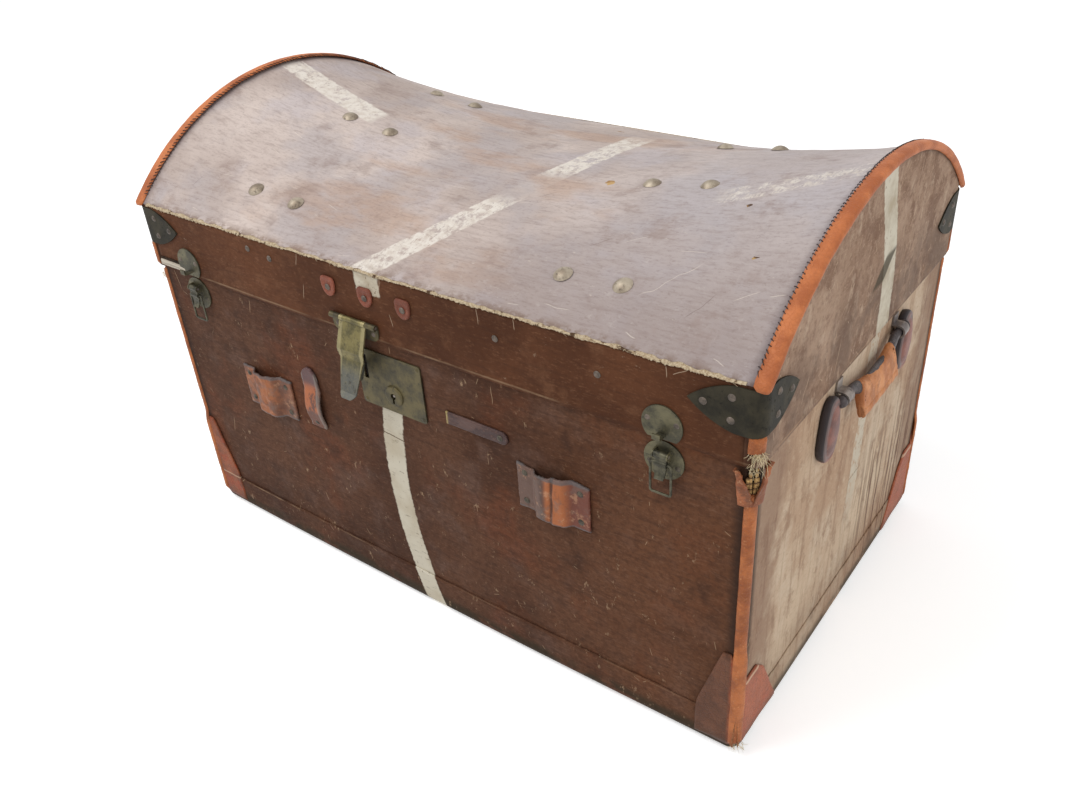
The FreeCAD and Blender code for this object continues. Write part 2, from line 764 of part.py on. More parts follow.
def hasp():
    """Tapered strap with its knuckle and the eyed staple that enters the lock."""
    strap = prism([(-hasp_width, p[1], p[2]) for p in hasp_profile()], (2 * hasp_width, 0, 0))
    wide = hasp_width / 2
    tip = hasp_tip_width / 2
    z1 = hasp_joggle[1]
    end = hasp_tip_z - hasp_curl - 1
    face = outline_prism([
        line((-wide, -30, hasp_pivot_z + 1), (wide, -30, hasp_pivot_z + 1)),
        line((wide, -30, hasp_pivot_z + 1), (wide, -30, z1 + 6)),
        line((wide, -30, z1 + 6), (wide - 3, -30, z1 - 2)),
        line((wide - 3, -30, z1 - 2), (tip, -30, end + 8)),
        arc((tip, -30, end + 8), (0, -30, end), (-tip, -30, end + 8)),
        line((-tip, -30, end + 8), (-wide + 3, -30, z1 - 2)),
        line((-wide + 3, -30, z1 - 2), (-wide, -30, z1 + 6)),
        line((-wide, -30, z1 + 6), (-wide, -30, hasp_pivot_z + 1)),
    ], (0, 60, 0))
    strap = strap.common(face)
    knuckle = rod(hasp_knuckle, (-wide + 0.3, hasp_pivot_out, hasp_pivot_z),
                  (wide - 0.3, hasp_pivot_out, hasp_pivot_z))
    near = lock_plate_size[2] + 0.7
    across, deep, high = staple_size
    half_high = high / 2
    staple = box((-across / 2, near - deep, slot_z - half_high), (across / 2, near + 0.4, slot_z + half_high))
    staple = staple.makeFillet(3, [e for e in staple.Edges if abs(e.BoundBox.YMax - (near - deep)) < 1e-3
                                   and e.BoundBox.XLength > across / 2])
    eye = box((-across, -bolt_depth - staple_eye[0] / 2, slot_z - staple_eye[1] / 2),
              (across, -bolt_depth + staple_eye[0] / 2, slot_z + staple_eye[1] / 2))
    body = fuse([strap, knuckle, staple.cut(eye)])
    bore = rod(hasp_pin_radius + pin_slack, (-hasp_width, hasp_pivot_out, hasp_pivot_z),
               (hasp_width, hasp_pivot_out, hasp_pivot_z))
    return body.cut(bore)


def hasp_plate():
    """Leaf on the rim with a knuckle at each side of the hasp's own."""
    wide, high, thick = hasp_leaf_size
    base_z = hasp_pivot_z - high
    leaf = box((-wide / 2, hasp_lid_y, base_z), (wide / 2, hasp_lid_y + thick, hasp_pivot_z))
    feet = [edge_at(leaf, (sx * wide / 2, hasp_lid_y + thick / 2, base_z)) for sx in (-1, 1)]
    leaf = leaf.makeFillet(hasp_leaf_round, feet)
    knuckles = []
    for sx in (-1, 1):
        knuckles.append(rod(hasp_knuckle, (sx * (hasp_width / 2 + 0.3), hasp_pivot_out, hasp_pivot_z),
                            (sx * wide / 2, hasp_pivot_out, hasp_pivot_z)))
    relief = rod(hasp_knuckle + 0.4, (-hasp_width / 2 - 0.3, hasp_pivot_out, hasp_pivot_z),
                 (hasp_width / 2 + 0.3, hasp_pivot_out, hasp_pivot_z))
    bore = rod(hasp_pin_radius, (-wide, hasp_pivot_out, hasp_pivot_z), (wide, hasp_pivot_out, hasp_pivot_z))
    return fuse([leaf.cut(relief)] + knuckles).cut(bore)


hasp_closed = hasp()
hasp_hung = hasp_closed.copy()
hasp_hung.rotate(V(0, hasp_pivot_out, hasp_pivot_z), X_AXIS, hasp_hang)
hasp_pin = rod(hasp_pin_radius, (-hasp_leaf_size[0] / 2, hasp_pivot_out, hasp_pivot_z),
               (hasp_leaf_size[0] / 2, hasp_pivot_out, hasp_pivot_z))
for sx in (-1, 1):
    rivet_front(lid_rivets, base_plan, slot_x, hasp_pivot_z - 10, hasp_lid_y + hasp_leaf_size[2],
                across=sx * 26, head=2.8, dome=1.2)


# ------------------------------------------------------------------------------------ draw catches
def catch_plate():
    """Round plate with two ears that carry the lever's pin."""
    plate = Part.makeCylinder(catch_plate_radius, catch_plate_thickness, V(0, 0, catch_plate_z), Y_AXIS)
    out, z = catch_pivot
    ears = []
    for sx in (-1, 1):
        x0 = sx * (lever_width / 2 + catch_gap)
        x1 = x0 + sx * ear_thickness
        ear = fuse([
            rod(ear_radius, (x0, out, z), (x1, out, z)),
            box((min(x0, x1), catch_plate_thickness - 0.5, z - ear_radius - 1.5),
                (max(x0, x1), out, z + ear_radius)),
        ])
        ears.append(ear)
    bore = rod(catch_pin_radius, (-20, out, z), (20, out, z))
    return fuse([plate] + ears).cut(bore)


def catch_lever():
    """Lever hanging down, with a barrel for its pin, a barrel for the loop's ends and a curled finger tip."""
    out, z = catch_pivot
    half = lever_width / 2
    back = out - 0.2
    front = back + lever_thickness
    tip = z - lever_length
    blade = outline_prism([
        line((-half, back, z), (-half, front, z)),
        line((-half, front, z), (-half, front, tip + 7)),
        arc((-half, front, tip + 7), (-half, front + 0.9, tip + 3), (-half, front + 3.2, tip)),
        line((-half, front + 3.2, tip), (-half, front + 1.8, tip - 0.9)),
        arc((-half, front + 1.8, tip - 0.9), (-half, back + 0.7, tip + 2.6), (-half, back, tip + 7)),
        line((-half, back, tip + 7), (-half, back, z)),
    ], (lever_width, 0, 0))
    taper = prism([(-half, -40, z + 2), (half, -40, z + 2), (half, -40, z - 12),
                   (half - 2.2, -40, tip - 4), (-half + 2.2, -40, tip - 4), (-half, -40, z - 12)], (0, 80, 0))
    barrel = rod(lever_barrel, (-half, out, z), (half, out, z))
    eye = rod(lever_barrel - 0.4, (-half, out, z - catch_throw), (half, out, z - catch_throw))
    body = fuse([blade.common(taper), barrel, eye])
    body = body.cut(rod(catch_pin_radius + pin_slack, (-20, out, z), (20, out, z)))
    return body.cut(rod(loop_wire + pin_slack, (-20, out, z - catch_throw), (20, out, z - catch_throw)))


def rounded_path(points, radius):
    """Straight runs joined by arcs of one radius."""
    points = [V(*p) for p in points]
    edges = []
    last = points[0]
    for a, b, c in zip(points, points[1:], points[2:]):
        back = (a - b).normalize()
        ahead = (c - b).normalize()
        turn = math.acos(max(-1, min(1, back.dot(ahead))))
        cut = radius / math.tan(turn / 2)
        start = b + back * cut
        end = b + ahead * cut
        middle = (back + ahead).normalize()
        centre = b + middle * (radius / math.sin(turn / 2))
        edges.append(Part.LineSegment(last, start).toShape())
        edges.append(Part.Arc(start, centre - middle * radius, end).toShape())
        last = end
    edges.append(Part.LineSegment(last, points[-1]).toShape())
    return Part.Wire(edges)


def swept_rod(points, bend, radius):
    path = rounded_path(points, bend)
    start = V(*points[0])
    way = (V(*points[1]) - start).normalize()
    ring = Part.Wire(Part.makeCircle(radius, start, way))
    return path.makePipeShell([ring], True, False)


def catch_loop():
    """Wire loop: both ends turn into the lever's eye."""
    out, z = catch_pivot
    top = z - catch_throw
    low = top - loop_reach
    inner = lever_width / 2 - 2.2
    w = loop_half_width
    return swept_rod([(-inner, out, top), (-w, out, top), (-w, out, low), (w, out, low), (w, out, top),
                      (inner, out, top)], loop_bend - 0.6, loop_wire)


def strike(x):
    """Round plate on the rim, cut straight at the rim's edge, with an upturned hook for the loop."""
    plate = Part.makeCylinder(strike_radius, strike_thickness, V(0, 0, strike_z), Y_AXIS)
    plate = plate.cut(box((-50, -5, 0), (50, 20, lid_low + 1.5)))
    floor = catch_pivot[1] - catch_throw + loop_reach * math.cos(math.radians(10)) - loop_wire - 0.5
    far = catch_pivot[0] + loop_reach * math.sin(math.radians(10)) + loop_wire + 0.7 - lid_step(x)
    thick = strike_thickness
    front = far + thick
    plate_face = strike_thickness
    half = hook_width / 2
    hook = outline_prism([
        line((-half, plate_face - 0.5, floor), (-half, far - 0.8, floor)),
        arc((-half, far - 0.8, floor), (-half, far - 0.23, floor + 0.23), (-half, far, floor + 0.8)),
        line((-half, far, floor + 0.8), (-half, far, floor + 5)),
        line((-half, far, floor + 5), (-half, front, floor + 5)),
        line((-half, front, floor + 5), (-half, front, floor)),
        arc((-half, front, floor), (-half, front - 0.45, floor - 1.05), (-half, far, floor - thick)),
        line((-half, far, floor - thick), (-half, plate_face - 0.5, floor - thick)),
        line((-half, plate_face - 0.5, floor - thick), (-half, plate_face - 0.5, floor)),
    ], (hook_width, 0, 0))
    return fuse([plate, hook])


catches = {}
for x, name in zip(catch_xs, ("left", "right")):
    out, z = catch_pivot
    ear_out = lever_width / 2 + catch_gap + ear_thickness
    catches[name] = {
        "plate": on_front(catch_plate(), base_plan, x),
        "lever": on_front(catch_lever(), base_plan, x),
        "loop": on_front(catch_loop(), base_plan, x),
        "pin": on_front(rod(catch_pin_radius, (-ear_out, out, z), (ear_out, out, z)), base_plan, x),
        "strike": on_front(strike(x), lid_plan, x),
    }
    for dx in (-14, 14):
        rivet_front(base_rivets, base_plan, x, catch_plate_z - 5, catch_plate_thickness, across=dx,
                    head=2.8, dome=1.2)
        rivet_front(lid_rivets, lid_plan, x, strike_z + 4, strike_thickness, across=dx, head=2.8, dome=1.2)

for x, above in rim_nails:
    z = base_height + above
    rivet_front(lid_rivets, lid_plan, x, z, 0)


# ------------------------------------------------------------------------------------ front straps
def strap_keeper(cx, cz):
    """Leather loop that a buckled strap passed through: two flat feet and a raised middle."""
    wide, high, thick = keeper_size
    tunnel, rise = keeper_tunnel
    foot = (wide - tunnel) / 2
    half = wide / 2
    ramp = 9.0
    z0 = cz - high / 2
    # outer face then inner face, each a flat foot, a ramp, a low arch, a ramp and a foot
    crown = rise + thick
    outer = [
        line((-half, 0, z0), (-half, thick, z0)),
        line((-half, thick, z0), (-half + foot, thick, z0)),
        line((-half + foot, thick, z0), (-half + foot + ramp, crown, z0)),
        arc((-half + foot + ramp, crown, z0), (0, crown + 1.6, z0), (half - foot - ramp, crown, z0)),
        line((half - foot - ramp, rise + thick, z0), (half - foot, thick, z0)),
        line((half - foot, thick, z0), (half, thick, z0)),
        line((half, thick, z0), (half, 0, z0)),
    ]
    inner = [
        line((half, 0, z0), (half - foot + 1.2, 0, z0)),
        line((half - foot + 1.2, 0, z0), (half - foot - ramp + 1.2, rise, z0)),
        arc((half - foot - ramp + 1.2, rise, z0), (0, rise + 1.6, z0), (-half + foot + ramp - 1.2, rise, z0)),
        line((-half + foot + ramp - 1.2, rise, z0), (-half + foot - 1.2, 0, z0)),
        line((-half + foot - 1.2, 0, z0), (-half, 0, z0)),
    ]
    body = outline_prism(outer + inner, (0, 0, high))
    ends = [e for e in body.Edges if abs(e.Vertexes[0].Z - e.Vertexes[1].Z) < 1e-6
            and abs(abs(e.Vertexes[0].X) - half) < 1e-6 and abs(abs(e.Vertexes[1].X) - half) < 1e-6
            and e.Length < thick + 0.1]
    return body.makeFillet(6, ends)


def broken_strap():
    """Stub of the left strap, bellied out between its root and its torn end."""
    wide, high, thick = stub_size
    half = wide / 2
    top = stub_z + high / 2
    low = stub_z - high / 2
    side = outline_prism([
        line((-half, 0.3, top), (-half, thick, top)),
        arc((-half, thick, top), (-half, thick + 6, top - 26), (-half, thick + 4, top - 52)),
        line((-half, thick + 4, top - 52), (-half, thick, low + 16)),
        line((-half, thick, low + 16), (-half, thick, low)),
        line((-half, thick, low), (-half, 0.3, low)),
        line((-half, 0.3, low), (-half, 0.3, low + 14)),
        line((-half, 0.3, low + 14), (-half, 4.4, top - 50)),
        arc((-half, 4.4, top - 50), (-half, 5.6, top - 27), (-half, 0.3, top - 8)),
        line((-half, 0.3, top - 8), (-half, 0.3, top)),
    ], (wide, 0, 0))
    face = outline_prism([
        line((-half, -5, low), (half, -5, low)),
        line((half, -5, low), (half, -5, top - half)),
        arc((half, -5, top - half), (0, -5, top), (-half, -5, top - half)),
        line((-half, -5, top - half), (-half, -5, low)),
    ], (0, 40, 0))
    return side.common(face)


def front_tab():
    wide, high, thick = tab_size
    r = high / 2 - 0.01
    body = outline_prism([
        line((-wide / 2, 0, tab_z - high / 2), (wide / 2 - r, 0, tab_z - high / 2)),
        arc((wide / 2 - r, 0, tab_z - high / 2), (wide / 2, 0, tab_z), (wide / 2 - r, 0, tab_z + high / 2)),
        line((wide / 2 - r, 0, tab_z + high / 2), (-wide / 2, 0, tab_z + high / 2)),
        line((-wide / 2, 0, tab_z + high / 2), (-wide / 2, 0, tab_z - high / 2)),
    ], (0, thick, 0))
    return body


def leather_washer():
    """Shield-shaped washer under a rim rivet."""
    wide, high, thick = leather_washer_size
    top = leather_washer_z + high / 2
    low = leather_washer_z - high / 2
    return outline_prism([
        line((-wide / 2, 0, top), (wide / 2, 0, top)),
        line((wide / 2, 0, top), (wide / 2, 0, leather_washer_z)),
        arc((wide / 2, 0, leather_washer_z), (wide * 0.32, 0, low + high * 0.16), (0, 0, low)),
        arc((0, 0, low), (-wide * 0.32, 0, low + high * 0.16), (-wide / 2, 0, leather_washer_z)),
        line((-wide / 2, 0, leather_washer_z), (-wide / 2, 0, top)),
    ], (0, thick, 0))


strap_keeper_left = on_front(strap_keeper(0, keeper_left_z), base_plan, keeper_left_x)
strap_keeper_right = on_front(strap_keeper(0, keeper_right_z), base_plan, keeper_right_x)
for cx, cz in ((keeper_left_x, keeper_left_z), (keeper_right_x, keeper_right_z)):
    for dx in (-1, 1):
        for dz in (-1, 1):
            rivet_front(base_rivets, base_plan, cx, cz + dz * (keeper_size[1] / 2 - 10), keeper_size[2],
                        across=dx * (keeper_size[0] / 2 - 10))
stub = on_front(broken_strap(), base_plan, stub_x)
rivet_front(base_rivets, base_plan, stub_x, stub_z - stub_size[1] / 2 + 8, stub_size[2])
tab = on_front(front_tab(), base_plan, tab_x)
rivet_front(base_rivets, base_plan, tab_x, tab_z, tab_size[2], across=tab_size[0] / 2 - 9)
leather_washers = []
for x in leather_washer_x:
    leather_washers.append(on_front(leather_washer(), lid_plan, x))
    rivet_front(lid_rivets, lid_plan, x, leather_washer_z, leather_washer_size[2])


# ----------------------------------------------------------------------------------------- handles
def handle_loop(cy):
    """Brass saddle over the strap's neck, with a flange up and down the wall."""
    out, z = handle_axis
    inner = neck_radius + neck_slack
    outer = inner + handle_loop_wall
    y0 = cy - handle_loop_width / 2
    way = (0, handle_loop_width, 0)
    arch = outline_prism([
        line((0, y0, z + outer), (out, y0, z + outer)),
        arc((out, y0, z + outer), (out + outer, y0, z), (out, y0, z - outer)),
        line((out, y0, z - outer), (0, y0, z - outer)),
        line((0, y0, z - outer), (0, y0, z + outer)),
    ], way)
    hole = outline_prism([
        line((0, y0, z + inner), (out, y0, z + inner)),
        arc((out, y0, z + inner), (out + inner, y0, z), (out, y0, z - inner)),
        line((out, y0, z - inner), (0, y0, z - inner)),
        line((0, y0, z - inner), (0, y0, z + inner)),
    ], way)
    y1 = y0 + handle_loop_width
    down = box((0, y0, z - outer - handle_loop_flange), (handle_loop_wall, y1, z - inner))
    up = box((0, y0, z + inner), (handle_loop_wall, y1, z + outer + handle_loop_flange - 5))
    return fuse([arch.cut(hole), down, up])


def turned(shape, cy):
    """Turn a handle part about its axis from level to its hang at rest."""
    out, z = handle_axis
    placed = shape.copy()
    placed.rotate(V(out, cy, z), Y_AXIS, handle_droop)
    return placed


def handle_strap(cy):
    """Rolled leather neck that runs through both loops and bows out through the pad."""
    out, z = handle_axis
    far = out + handle_bow
    spread = pad_length / 2 - 8
    bend = handle_loop_offset - 14
    path = [(out, cy - neck_end, z), (out, cy - bend, z), (far, cy - spread, z), (far, cy + spread, z),
            (out, cy + bend, z), (out, cy + neck_end, z)]
    core = swept_rod(path, 10.0, neck_radius)
    knobs = []
    for sign in (-1, 1):
        a = cy + sign * (neck_end - 4)
        b = cy + sign * (neck_end + 3)
        knobs.append(rod(neck_radius + 2.4, (out, a, z), (out, b, z)))
    return turned(fuse([core] + knobs), cy)


def handle_pad(cy):
    """Leather folded over the strap and sewn along its lower edge; the upper edge curves in."""
    out, z = handle_axis
    near = out + pad_reach[0]
    far = out + pad_reach[1]
    half = pad_length / 2
    shoulder = half - 4
    low = z - pad_thickness / 2
    body = outline_prism([
        arc((near, cy - shoulder, low), (near + pad_dip, cy, low), (near, cy + shoulder, low)),
        line((near, cy + shoulder, low), (far, cy + half, low)),
        line((far, cy + half, low), (far, cy - half, low)),
        line((far, cy - half, low), (near, cy - shoulder, low)),
    ], (0, 0, pad_thickness))
    return body.makeFillet(pad_edge, [e for e in body.Edges if e.Length > pad_thickness + 1])


chape_drop = math.radians(chape_lean)
chape_offset = handle_loop_offset + handle_loop_width / 2 + chape_gap + chape_width / 2


def handle_chape(cy, sign):
    """Padded leather lobe that covers the root of a loop and leans down and away from the grip."""
    out, z = handle_axis
    half = chape_width / 2
    length = chape_length - half
    start_y = cy + sign * chape_offset
    top = z - chape_drop_below
    lobe = outline_prism([
        line((0, -half * 0.62, 0), (0, half * 0.62, 0)),
        line((0, half * 0.62, 0), (0, half, -length * 0.55)),
        arc((0, half, -length * 0.55), (0, 0, -chape_length), (0, -half, -length * 0.55)),
        line((0, -half, -length * 0.55), (0, -half * 0.62, 0)),
    ], (chape_thickness, 0, 0))
    shoulders = [edge_at(lobe, (chape_thickness / 2, s * half * 0.62, 0)) for s in (-1, 1)]
    lobe = lobe.makeFillet(chape_round, shoulders)
    lobe = lobe.makeFillet(chape_edge, [e for e in lobe.Edges if e.BoundBox.XMin > chape_thickness - 0.01])
    lobe.rotate(ORIGIN, X_AXIS, sign * chape_lean)
    lobe.translate(V(0, start_y, top))
    return lobe


handles = {}
for side, name in ((-1, "left"), (1, "right")):
    strap = handle_strap(handle_y)
    pad = turned(handle_pad(handle_y), handle_y).cut(strap)
    loops = [handle_loop(handle_y + s * handle_loop_offset) for s in (-1, 1)]
    chapes = [handle_chape(handle_y, s) for s in (-1, 1)]
    handles[name] = {
        "strap": [on_end(strap, side)],
        "pad": [on_end(pad, side)],
        "loops": [on_end(s, side) for s in loops],
        "chapes": [on_end(s, side) for s in chapes],
    }
    out, z = handle_axis
    outer = neck_radius + neck_slack + handle_loop_wall
    for s in (-1, 1):
        y = handle_y + s * handle_loop_offset
        rivet_end(base_rivets, side, y, z - outer - handle_loop_flange + 6, handle_loop_wall)
        y_lobe = handle_y + s * chape_offset
        drop = chape_length * 0.5
        rivet_end(base_rivets, side, y_lobe + s * drop * math.sin(chape_drop),
                  z - chape_drop_below - drop * math.cos(chape_drop), chape_thickness,
                  grip=chape_thickness + rivet_grip)

# ------------------------------------------------------------------------------------------ hinges
back_y = lid_mid_y + lid_width / 2 + bow_at(hinge_x - hinge_width / 2, lid_length)
hinge_axis_y = back_y + hinge_knuckle + 0.2
segment = hinge_width / hinge_segments


def hinge_leaf(side, upper):
    """One leaf with its share of the knuckles, dished to the bowed back."""
    x0 = side * hinge_x - hinge_width / 2
    z_axis = base_height + seam_gap / 2
    if upper:
        low, high = z_axis + 1.2, z_axis + hinge_leaf_height
    else:
        low, high = z_axis - hinge_leaf_height, z_axis - 1.2
    leaf = box((x0, back_y - 6, low), (x0 + hinge_width, back_y + hinge_leaf_thickness, high))
    far = high if upper else low
    leaf = leaf.makeFillet(10, [e for e in leaf.Edges if abs(e.Vertexes[0].Z - far) < 1e-6
                                and abs(e.Vertexes[1].Z - far) < 1e-6 and e.BoundBox.YLength > 5])
    block = walled_block(lid_plan, 0, lid_low, clear_height) if upper else wall_block
    parts = [leaf.cut(block)]
    spaces = []
    for i in range(hinge_segments):
        start = x0 + i * segment + hinge_segment_gap / 2
        end = start + segment - hinge_segment_gap
        mine = (i % 2 == 1) == upper
        if mine:
            barrel = rod(hinge_knuckle, (start, hinge_axis_y, z_axis), (end, hinge_axis_y, z_axis))
            web_low, web_high = (z_axis, z_axis + 8) if upper else (z_axis - 8, z_axis)
            web = box((start, back_y + 0.1, web_low), (end, back_y + hinge_leaf_thickness, web_high))
            parts += [barrel, web]
        else:
            spaces.append(rod(hinge_knuckle + 0.5, (start - hinge_segment_gap, hinge_axis_y, z_axis),
                              (end + hinge_segment_gap, hinge_axis_y, z_axis)))
    solid = fuse([parts[0].cut(Part.makeCompound(spaces))] + parts[1:])
    radius = hinge_pin_radius + (pin_slack if upper else 0)
    bore = rod(radius, (x0 - 5, hinge_axis_y, z_axis), (x0 + hinge_width + 5, hinge_axis_y, z_axis))
    return solid.cut(bore)


base_hinge_leaves = []
lid_hinge_leaves = []
hinge_pins = []
for side in (-1, 1):
    z_axis = base_height + seam_gap / 2
    base_hinge_leaves.append(hinge_leaf(side, False))
    lid_hinge_leaves.append(hinge_leaf(side, True))
    x0 = side * hinge_x - hinge_width / 2
    x1 = x0 + hinge_width
    hinge_pins.append(rod(hinge_pin_radius, (x0, hinge_axis_y, z_axis), (x1, hinge_axis_y, z_axis)))
    for dx, dz in ((-15, 18), (15, 18), (0, 42)):
        face_y = back_y + hinge_leaf_thickness
        base_rivets.add((side * hinge_x + dx, face_y, z_axis - dz), (0, 1, 0))
        lid_rivets.add((side * hinge_x + dx, face_y, z_axis + dz), (0, 1, 0))

# ---------------------------------------------------------------------------------------- drilling
base_canvas = lock_pins.drill(base_rivets.drill(base_canvas)).cut(lock_pocket)
base_basket = lock_pins.drill(base_rivets.drill(base_basket)).cut(lock_pocket)
base_lining = base_lining.cut(lock_pocket)
lid_basket = lid_rivets.drill(dome_studs.drill(lid_basket))
rim_canvas = lid_rivets.drill(rim_canvas)
dome_canvas = dome_studs.drill(dome_canvas)
lid_lining = dome_studs.drill(lid_lining)
end_canvas_left = lid_rivets.drill(end_canvas_left)
end_canvas_right = lid_rivets.drill(end_canvas_right)
batten_left = dome_studs.drill(batten_left)
batten_right = dome_studs.drill(batten_right)

# ----------------------------------------------------------------------------------------- export
export("base_basket", [base_basket])
export("base_canvas", [base_canvas])
export("base_bottom_canvas", [base_bottom_canvas])
export("base_lining", [base_lining])
export("base_hoop", [base_hoop])
export("corner_patches", corner_patches)
export("corner_bindings_front", corner_bindings[0:2])
export("corner_bindings_back", corner_bindings[2:4])

export("lock_plate", [lock_pins.drill(lock_local(lock_plate()))])
export("lock_case", [lock_local(lock_case())])
export("lock_bolt", [lock_local(lock_bolt())])
export("lock_spring", [lock_local(lock_spring())])
export("lock_drill_pin", [lock_local(drill_pin)])
export("lock_pins", lock_pins.solids)

for name, parts in catches.items():
    export("catch_plate_" + name, [base_rivets.drill(parts["plate"])])
    export("catch_lever_" + name, [parts["lever"]])
    export("catch_loop_" + name, [parts["loop"]])
export("catch_pins", [parts["pin"] for parts in catches.values()])
export("strikes", [lid_rivets.drill(parts["strike"]) for parts in catches.values()])

export("strap_keeper_left", [base_rivets.drill(strap_keeper_left)])
export("strap_keeper_right", [base_rivets.drill(strap_keeper_right)])
export("broken_strap", [base_rivets.drill(stub)])
export("front_tab", [base_rivets.drill(tab)])
export("base_rivets", base_rivets.solids)

for name, parts in handles.items():
    export("handle_strap_" + name, parts["strap"])
    export("handle_pad_" + name, parts["pad"])
    export("handle_loops_" + name, [base_rivets.drill(s) for s in parts["loops"]])
    export("handle_chapes_" + name, [base_rivets.drill(s) for s in parts["chapes"]])

export("hinge_leaves_base", [base_rivets.drill(s) for s in base_hinge_leaves])
export("hinge_leaves_lid", [lid_rivets.drill(s) for s in lid_hinge_leaves])
export("hinge_pins", hinge_pins)

export("lid_basket", [lid_basket])
export("dome_canvas", [dome_canvas])
export("rim_canvas", [rim_canvas])
export("end_canvas_left", [end_canvas_left])
export("end_canvas_right", [end_canvas_right])
export("lid_lining", [lid_lining])
export("lid_hoop", [lid_hoop])
export("dome_batten_left", [batten_left])
export("dome_batten_right", [batten_right])
export("arch_binding_left", [arch_binding_left])
export("arch_binding_right", [arch_binding_right])
export("corner_irons_front", [lid_rivets.drill(s) for s in irons[0:2]])
export("corner_irons_back", [lid_rivets.drill(s) for s in irons[2:4]])
export("lid_corner_bindings", lid_corner_bindings)
export("dome_studs", dome_studs.solids)
export("stud_washers", stud_washers)
export("hasp_plate", [lid_rivets.drill(on_front(hasp_plate(), base_plan, slot_x))])
export("hasp_pin", [on_front(hasp_pin, base_plan, slot_x)])
export("hasp", [on_front(hasp_hung, base_plan, slot_x)])
export("leather_washers", [lid_rivets.drill(s) for s in leather_washers])
export("lid_rivets", lid_rivets.solids)
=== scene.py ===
import json
import bpy
import numpy as np
from mathutils import Matrix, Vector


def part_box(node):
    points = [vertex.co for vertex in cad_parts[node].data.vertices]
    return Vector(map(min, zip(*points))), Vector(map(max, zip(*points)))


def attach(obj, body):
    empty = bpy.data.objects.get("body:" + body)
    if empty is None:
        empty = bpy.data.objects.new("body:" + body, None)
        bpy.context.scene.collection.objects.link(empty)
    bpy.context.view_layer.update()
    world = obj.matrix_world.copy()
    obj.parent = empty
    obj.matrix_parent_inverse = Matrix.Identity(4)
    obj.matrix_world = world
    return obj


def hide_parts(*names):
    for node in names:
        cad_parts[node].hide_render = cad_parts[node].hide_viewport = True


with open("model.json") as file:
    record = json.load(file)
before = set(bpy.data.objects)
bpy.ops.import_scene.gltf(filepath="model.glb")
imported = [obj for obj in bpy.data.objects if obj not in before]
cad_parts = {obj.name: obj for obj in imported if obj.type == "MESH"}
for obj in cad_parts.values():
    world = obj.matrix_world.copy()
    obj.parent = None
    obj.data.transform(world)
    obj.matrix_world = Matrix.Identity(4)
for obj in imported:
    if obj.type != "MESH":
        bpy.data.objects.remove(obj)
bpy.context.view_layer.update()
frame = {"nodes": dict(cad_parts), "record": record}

nodes = frame["nodes"]

# ------------------------------------------------------------------------------------------ sizes
MM = 0.001
base_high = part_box("base_canvas")[1]
rim_low, rim_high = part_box("rim_canvas")
CANVAS = 1.2 * MM                       # thickness of the painted canvas
BOW = 4 * MM                            # how far the front and back panels bow out at mid length
CORNER = 12 * MM                        # radius of the upright corners
FOOT = 10 * MM                          # radius round the foot of the walls
BASE_X = base_high[0]                   # half length and half depth of the base, and its top
BASE_Y = base_high[1] - BOW
BASE_TOP = base_high[2]
LID_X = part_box("end_canvas_right")[1][0]
LID_Y = (rim_high[1] - rim_low[1]) / 2 - BOW
LID_MID = (rim_high[1] + rim_low[1]) / 2
LID_BOTTOM = rim_low[2]
RIM_TOP = rim_high[2]
LAP_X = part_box("dome_canvas")[1][0]     # where the rim's canvas meets the end's
END_RISE = 104 * MM                     # rise of the dome over the rim at its ends and at mid length
MID_RISE = 44 * MM
SEAM_Z = 48 * MM                        # raw edge of the bottom canvas, stuck up the walls
LOCK_X = -15 * MM                       # middle of the lock plate
LOCK_Z = 314 * MM
HASP_X = -50 * MM                       # middle of the hasp
BAND_TOP = 277 * MM                     # height on the front where the painted band is measured from
THREAD = 1.6 * MM                       # pitch of the canvas's weave
KEEPER_LEFT = (-232 * MM, 233 * MM)     # middles of the strap keepers, the torn strap and the tab
KEEPER_RIGHT = (192 * MM, 250 * MM)
STUB = (-150 * MM, 252 * MM)
TAB = (100 * MM, 299 * MM)
TEAR_LOW = 331 * MM                     # foot and top of the tear at the front right corner
TEAR_HIGH = 374 * MM
SIDE_NAME = {-1: "left", 1: "right"}


# ------------------------------------------------------------------------------ shader building
def srgb(r, g, b):
    """Screen colour 0 to 255 turned into the linear value that a shader takes."""
    c = np.array([r, g, b]) / 255
    linear = np.where(c <= 0.04045, c / 12.92, ((c + 0.055) / 1.055) ** 2.4)
    return (*linear.tolist(), 1.0)


